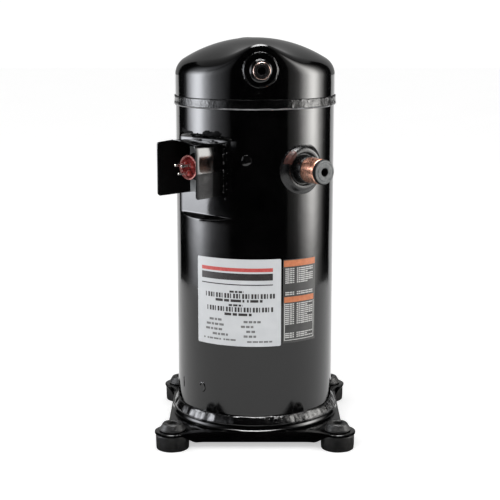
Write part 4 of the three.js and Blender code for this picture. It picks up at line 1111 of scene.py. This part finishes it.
class Print:
    """Thin blocks of ink laid on a label, placed by shares of its width and height."""

    def __init__(self, spec, inks):
        self.spec, self.inks = spec, inks
        self.points, self.faces, self.used = [], [], []

    def block(self, left, right, top, bottom, ink):
        """One block, bent with the wall and sunk a little into the film."""
        spec = self.spec
        span, tall = spec["to"] - spec["from"], spec["high"] - spec["low"]
        high, low = spec["high"] - top * tall, spec["high"] - bottom * tall
        sunk, proud = LABEL_OUT - 0.1 - SHELL_R, LABEL_OUT + 0.05 - SHELL_R
        steps = max(1, int((right - left) * span / 2.5))
        start = len(self.points)
        for i in range(steps + 1):
            azimuth = spec["from"] + (left + (right - left) * i / steps) * span
            for out, z in ((sunk, low), (proud, low), (proud, high), (sunk, high)):
                self.points.append(wall_point(azimuth, z, out))
        quads = []
        for i in range(steps):
            a, b = start + i * 4, start + (i + 1) * 4
            quads += [(a + j, b + j, b + (j + 1) % 4, a + (j + 1) % 4) for j in range(4)]
        end = start + steps * 4
        quads += [(start + 1, start + 2, start + 3, start), (end, end + 3, end + 2, end + 1)]
        self.faces += quads
        self.used += [self.inks.index(ink)] * len(quads)

    def dashes(self, left, right, middle, height, pattern, ink, gap=0.012):
        """A row of short blocks of uneven length, standing in for a line of small print."""
        s, k = left, 0
        while s < right:
            length = pattern[k % len(pattern)]
            self.block(s, min(s + length, right), middle - height / 2, middle + height / 2, ink)
            s += length + gap
            k += 1

    def bars(self, left, right, top, bottom, count, ink):
        """Evenly spaced upright bars; they carry no code."""
        pitch = (right - left) / count
        for k in range(count):
            width = pitch * (0.66 if k % 3 else 0.36)
            self.block(left + k * pitch, left + k * pitch + width, top, bottom, ink)

    def build(self, name):
        mesh = bpy.data.meshes.new(name)
        mesh.from_pydata([(x * MM, y * MM, z * MM) for x, y, z in self.points], [], self.faces)
        for ink in self.inks:
            mesh.materials.append(ink)
        mesh.polygons.foreach_set("material_index", self.used)
        work = bmesh.new()
        work.from_mesh(mesh)
        bmesh.ops.recalc_face_normals(work, faces=work.faces)
        work.to_mesh(mesh)
        work.free()
        printed = bpy.data.objects.new(name, mesh)
        SCENE.collection.objects.link(printed)
        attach(printed, "shell")

def build_nameplate():
    sheet = film_sheet("nameplate_sheet", NAMEPLATE, 40, 1.6)
    dress(sheet, FILM, replaces=["nameplate"])
    art = Print(NAMEPLATE, [INK, INK_SOFT, INK_RED])
    art.block(0.065, 0.905, 0.1, 0.142, INK_RED)
    art.block(0.065, 0.905, 0.162, 0.24, INK)
    art.block(0.065, 0.905, 0.285, 0.297, INK)
    art.dashes(0.42, 0.58, 0.372, 0.023, (0.05, 0.03, 0.04), INK)
    art.bars(0.12, 0.94, 0.393, 0.448, 24, INK)
    art.dashes(0.25, 0.79, 0.475, 0.03, (0.09, 0.06, 0.12, 0.07), INK, 0.016)
    art.dashes(0.41, 0.57, 0.527, 0.023, (0.04, 0.05, 0.03), INK)
    art.bars(0.14, 0.92, 0.548, 0.603, 23, INK)
    art.dashes(0.36, 0.67, 0.632, 0.03, (0.08, 0.05, 0.1), INK, 0.016)
    for k, (left, right) in enumerate(((0.17, 0.33), (0.13, 0.35), (0.12, 0.33), (0.21, 0.4))):
        art.dashes(left, right, 0.705 + 0.056 * k, 0.026, (0.055, 0.03, 0.045), INK_SOFT)
    for k, (left, right) in enumerate(((0.58, 0.77), (0.55, 0.7), (0.61, 0.72), (0.58, 0.73))):
        art.dashes(left, right, 0.715 + 0.056 * k, 0.026, (0.045, 0.04, 0.03), INK_SOFT)
    art.dashes(0.09, 0.5, 0.93, 0.02, (0.07, 0.045, 0.06), INK_SOFT, 0.01)
    art.dashes(0.62, 0.9, 0.945, 0.02, (0.05, 0.06, 0.045), INK_SOFT, 0.01)
    art.build("nameplate_print")

def build_info_label():
    sheet = film_sheet("info_sheet", INFO_LABEL, 22, 1.2)
    dress(sheet, INFO_FILM, replaces=["info_label"])
    art = Print(INFO_LABEL, [INK_ORANGE, INK_PALE])
    art.block(0.02, 0.98, 0.01, 0.085, INK_ORANGE)
    art.block(0.03, 0.94, 0.445, 0.512, INK_ORANGE)
    pattern = (0.11, 0.07, 0.16, 0.05, 0.13)
    for first, count in ((0.112, 8), (0.393, 2), (0.535, 11), (0.885, 3)):
        for k in range(count):
            right = 0.9 if (k * 7 + int(first * 100)) % 5 else 0.72
            art.dashes(0.06, right, first + 0.0235 * k, 0.0132, pattern, INK_PALE, 0.014)
    for left, right, top in ((0.03, 0.05, 0.52), (0.925, 0.945, 0.52), (0.03, 0.945, 0.962)):
        art.block(left, right, top, 0.97, INK_PALE)
    art.build("info_print")

build_nameplate()
build_info_label()


# ---------------------------------------------------------------------------
# Pieces inside the shell keep their CAD shape, with rounded shading
# ---------------------------------------------------------------------------
def shading_group():
    """Joins split corners and shades smooth except over sharp edges."""
    group = bpy.data.node_groups.new("soft_shading", "GeometryNodeTree")
    group.interface.new_socket("Geometry", in_out="INPUT", socket_type="NodeSocketGeometry")
    group.interface.new_socket("Geometry", in_out="OUTPUT", socket_type="NodeSocketGeometry")
    add, link = group.nodes.new, group.links.new
    start, end = add("NodeGroupInput"), add("NodeGroupOutput")
    merge = add("GeometryNodeMergeByDistance")
    merge.inputs["Distance"].default_value = 1e-5
    faces = add("GeometryNodeSetShadeSmooth")
    faces.domain = "FACE"
    angle = add("GeometryNodeInputMeshEdgeAngle")
    steep = add("FunctionNodeCompare")
    steep.data_type = "FLOAT"
    steep.operation = "GREATER_THAN"
    steep.inputs[1].default_value = 32 * RAD
    edges = add("GeometryNodeSetShadeSmooth")
    edges.domain = "EDGE"
    edges.inputs["Shade Smooth"].default_value = False
    link(start.outputs[0], merge.inputs["Geometry"])
    link(merge.outputs["Geometry"], faces.inputs["Geometry"])
    link(faces.outputs["Geometry"], edges.inputs["Geometry"])
    link(angle.outputs["Unsigned Angle"], steep.inputs[0])
    link(steep.outputs["Result"], edges.inputs["Selection"])
    link(edges.outputs["Geometry"], end.inputs[0])
    return group


SOFT = shading_group()
SLOT_OF = {part["node"]: part["material_slot"] for part in frame["record"]["subparts"]}
for name, node in frame["nodes"].items():
    if node.hide_render:
        continue
    finish = INNER.get(SLOT_OF[name], PAINT)
    for holder in node.material_slots:
        holder.material = finish
    node.modifiers.new("shading", "NODES").node_group = SOFT


# ---------------------------------------------------------------------------
# Stage, in metres: light cards seen only in reflections, floor, lamps, world and camera
# ---------------------------------------------------------------------------
def glow_card(name, points, faces, glows, tint=(1, 1, 1)):
    """A sheet of light that only reflections see; it is black where its glow is zero."""
    material = bpy.data.materials.new(name)
    material.use_nodes = True
    nodes = Nodes(material.node_tree)
    output = nodes.add("ShaderNodeOutputMaterial")
    light = nodes.add("ShaderNodeEmission")
    light.inputs["Color"].default_value = (*tint, 1.0)
    strength = nodes.add("ShaderNodeAttribute", attribute_name="glow")
    nodes.link(strength.outputs["Fac"], light.inputs["Strength"])
    nodes.link(light.outputs["Emission"], output.inputs["Surface"])
    mesh = bpy.data.meshes.new(name)
    mesh.from_pydata(points, [], faces)
    mesh.attributes.new("glow", "FLOAT", "POINT").data.foreach_set("value", glows)
    mesh.materials.append(material)
    card = bpy.data.objects.new(name, mesh)
    SCENE.collection.objects.link(card)
    for ray in ("camera", "diffuse", "transmission", "volume_scatter", "shadow"):
        setattr(card, "visible_" + ray, False)

def curved_card(name, glow_at, fade_at, radius, tint=(1, 1, 1)):
    """An upright card bent round the object: a glow for each azimuth, a share of it for each height."""
    points, strengths = [], []
    for height, fade in fade_at.items():
        for azimuth, glow in glow_at.items():
            points.append((radius * math.sin(azimuth * RAD), -radius * math.cos(azimuth * RAD), height))
            strengths.append(glow * fade)
    faces = grid_faces(len(fade_at), len(glow_at), close_rows=False, close_columns=False)
    glow_card(name, points, faces, strengths, tint)

LEFT_GLOW = {-138: 0.0, -118: 0.02, -112: 0.3, -107: 2.3, -102: 4.7, -98: 7.5, -93: 10.7, -88: 13.7,
             -83: 14.3, -79: 12.5, -75: 8.6, -70: 5.5, -62: 2.3, -54: 1.2, -46: 0.65, -39: 0.3, -32: 0.0}
RIGHT_GLOW = {42: 0.0, 47: 0.25, 54: 0.45, 61: 1.0, 66: 2.8, 70: 5.0, 75: 7.6, 79: 10.6, 84: 13.3, 88: 13.5,
              92: 11.2, 97: 7.2, 102: 3.4, 108: 1.4, 113: 0.3, 120: 0.02, 136: 0.0}
SIDE_FADE = {0.0: 0.2, 0.05: 0.26, 0.1: 0.48, 0.2: 0.8, 0.3: 1.0, 0.5: 1.0}
curved_card("left_card", LEFT_GLOW, {**SIDE_FADE, 0.72: 0.22, 1.1: 0.0}, 0.9, (0.93, 0.95, 1.0))
curved_card("right_card", RIGHT_GLOW, {**SIDE_FADE, 0.72: 0.7, 1.1: 0.0}, 0.9, (1.0, 0.985, 0.96))
# Black cards, which keep the reflections dark in front of the shell and beside the pad
curved_card("front_flag", dict.fromkeys(range(-33, 51, 6), 0.0), {0.0: 0.0, 1.3: 0.0}, 0.8)
PAD_FLAG = (-70.5, -64, -58, -52, -47, -40, -33, -26)
curved_card("pad_flag", dict.fromkeys(PAD_FLAG, 0.0), {0.24: 0.0, 0.336: 0.0}, 0.21)

def build_top_card():
    """Overhead light panel, fading to its edges."""
    size = 7
    points, strengths = [], []
    for i in range(size):
        for j in range(size):
            s, t = i / (size - 1), j / (size - 1)
            points.append((-0.55 + 1.1 * s, -0.15 + 1.0 * t, 1.5))
            strengths.append(16.0 * (math.sin(math.pi * s) * math.sin(math.pi * t)) ** 0.7)
    glow_card("top_card", points, grid_faces(size, size, close_rows=False, close_columns=False), strengths)

def build_brow_arc():
    """A bright arc in front of the top card, which draws the line over the nose of the cap."""
    half = [(0, 62.0), (15, 60.0), (30, 46.0), (50, 30.0), (75, 12.0), (95, 0.0)]
    arc = [(-azimuth, glow) for azimuth, glow in half[:0:-1]] + half
    points = [(reach * math.sin(azimuth * RAD), -reach * math.cos(azimuth * RAD), 1.48)
              for azimuth, _ in arc for reach in (0.36, 0.58)]
    glows = [glow for _, glow in arc for _ in range(2)]
    glow_card("brow_arc", points, grid_faces(len(arc), 2, close_rows=False, close_columns=False), glows)

def square(half, height):
    return [(-half, -half, height), (half, -half, height), (half, half, height), (-half, half, height)]

def build_floor():
    mesh = bpy.data.meshes.new("floor")
    mesh.from_pydata(square(9.0, 0.0), [], [(0, 1, 2, 3)])
    floor = bpy.data.objects.new("floor", mesh)
    SCENE.collection.objects.link(floor)
    material, nodes, shader = base_material("pale_floor", Specular_IOR_Level=0.0, Roughness=0.9)
    nodes.link(nodes.ramp(nodes.noise(3.0), [(0.3, 0.84), (0.7, 0.86)]), shader.inputs["Base Color"])
    shader.inputs["Emission Color"].default_value = (1, 1, 1, 1)
    shader.inputs["Emission Strength"].default_value = 0.52
    mesh.materials.append(material)

build_top_card()
build_brow_arc()
# Black sheet round the feet, like their contact shade
glow_card("floor_flag", square(0.172, 0.0008), [(0, 1, 2, 3)], [0.0] * 4)
build_floor()

def add_lamp(name, kind, energy, location, target, **settings):
    data = bpy.data.lights.new(name, kind)
    data.energy = energy
    for key, value in settings.items():
        setattr(data, key, value)
    lamp = bpy.data.objects.new(name, data)
    lamp.location = location
    lamp.rotation_euler = (Vector(target) - Vector(location)).to_track_quat("-Z", "Y").to_euler()
    SCENE.collection.objects.link(lamp)
    lamp.visible_glossy = False


add_lamp("sky_panel", "SUN", 1.15, (0.0, -0.4, 3.0), (0, 0, 0), angle=110 * RAD)
add_lamp("front_fill", "AREA", 20.0, (-0.9, -1.9, 1.5), (0, 0, 0.2), shape="RECTANGLE", size=1.2, size_y=1.2)
add_lamp("right_fill", "AREA", 8.0, (1.5, -1.2, 1.0), (0, 0, 0.2), shape="RECTANGLE", size=1.0, size_y=1.4)


def build_world():
    world = bpy.data.worlds.new("studio")
    world.use_nodes = True
    nodes = Nodes(world.node_tree)
    output = nodes.add("ShaderNodeOutputWorld")
    seen = nodes.add("ShaderNodeBackground")
    seen.inputs["Color"].default_value = (1, 1, 1, 1)
    seen.inputs["Strength"].default_value = 1.05
    room = nodes.add("ShaderNodeBackground")
    where = nodes.add("ShaderNodeTexCoord")
    split = nodes.add("ShaderNodeSeparateXYZ")
    nodes.link(where.outputs["Generated"], split.inputs["Vector"])
    rear = nodes.add("ShaderNodeMapRange")
    rear.inputs["From Min"].default_value = -0.6
    rear.inputs["From Max"].default_value = 0.7
    rear.inputs["To Min"].default_value = 0.06
    rear.inputs["To Max"].default_value = 0.42
    nodes.link(split.outputs["Y"], rear.inputs["Value"])
    nodes.link(rear.outputs["Result"], room.inputs["Strength"])
    path = nodes.add("ShaderNodeLightPath")
    choose = nodes.add("ShaderNodeMixShader")
    nodes.link(path.outputs["Is Camera Ray"], choose.inputs["Fac"])
    nodes.link(room.outputs["Background"], choose.inputs[1])
    nodes.link(seen.outputs["Background"], choose.inputs[2])
    nodes.link(choose.outputs["Shader"], output.inputs["Surface"])
    SCENE.world = world


build_world()

camera_data = bpy.data.cameras.new("camera")
camera_data.lens = 92.9
camera_data.sensor_width = 36.0
camera_data.clip_end = 50.0
camera = bpy.data.objects.new("camera", camera_data)
camera.location = (-0.0058, -1.5199, 0.5044)
PITCH_DOWN = 10.8
camera.rotation_euler = ((90 - PITCH_DOWN) * RAD, 0, 0)
SCENE.collection.objects.link(camera)
SCENE.camera = camera
SCENE.view_settings.view_transform = "Standard"
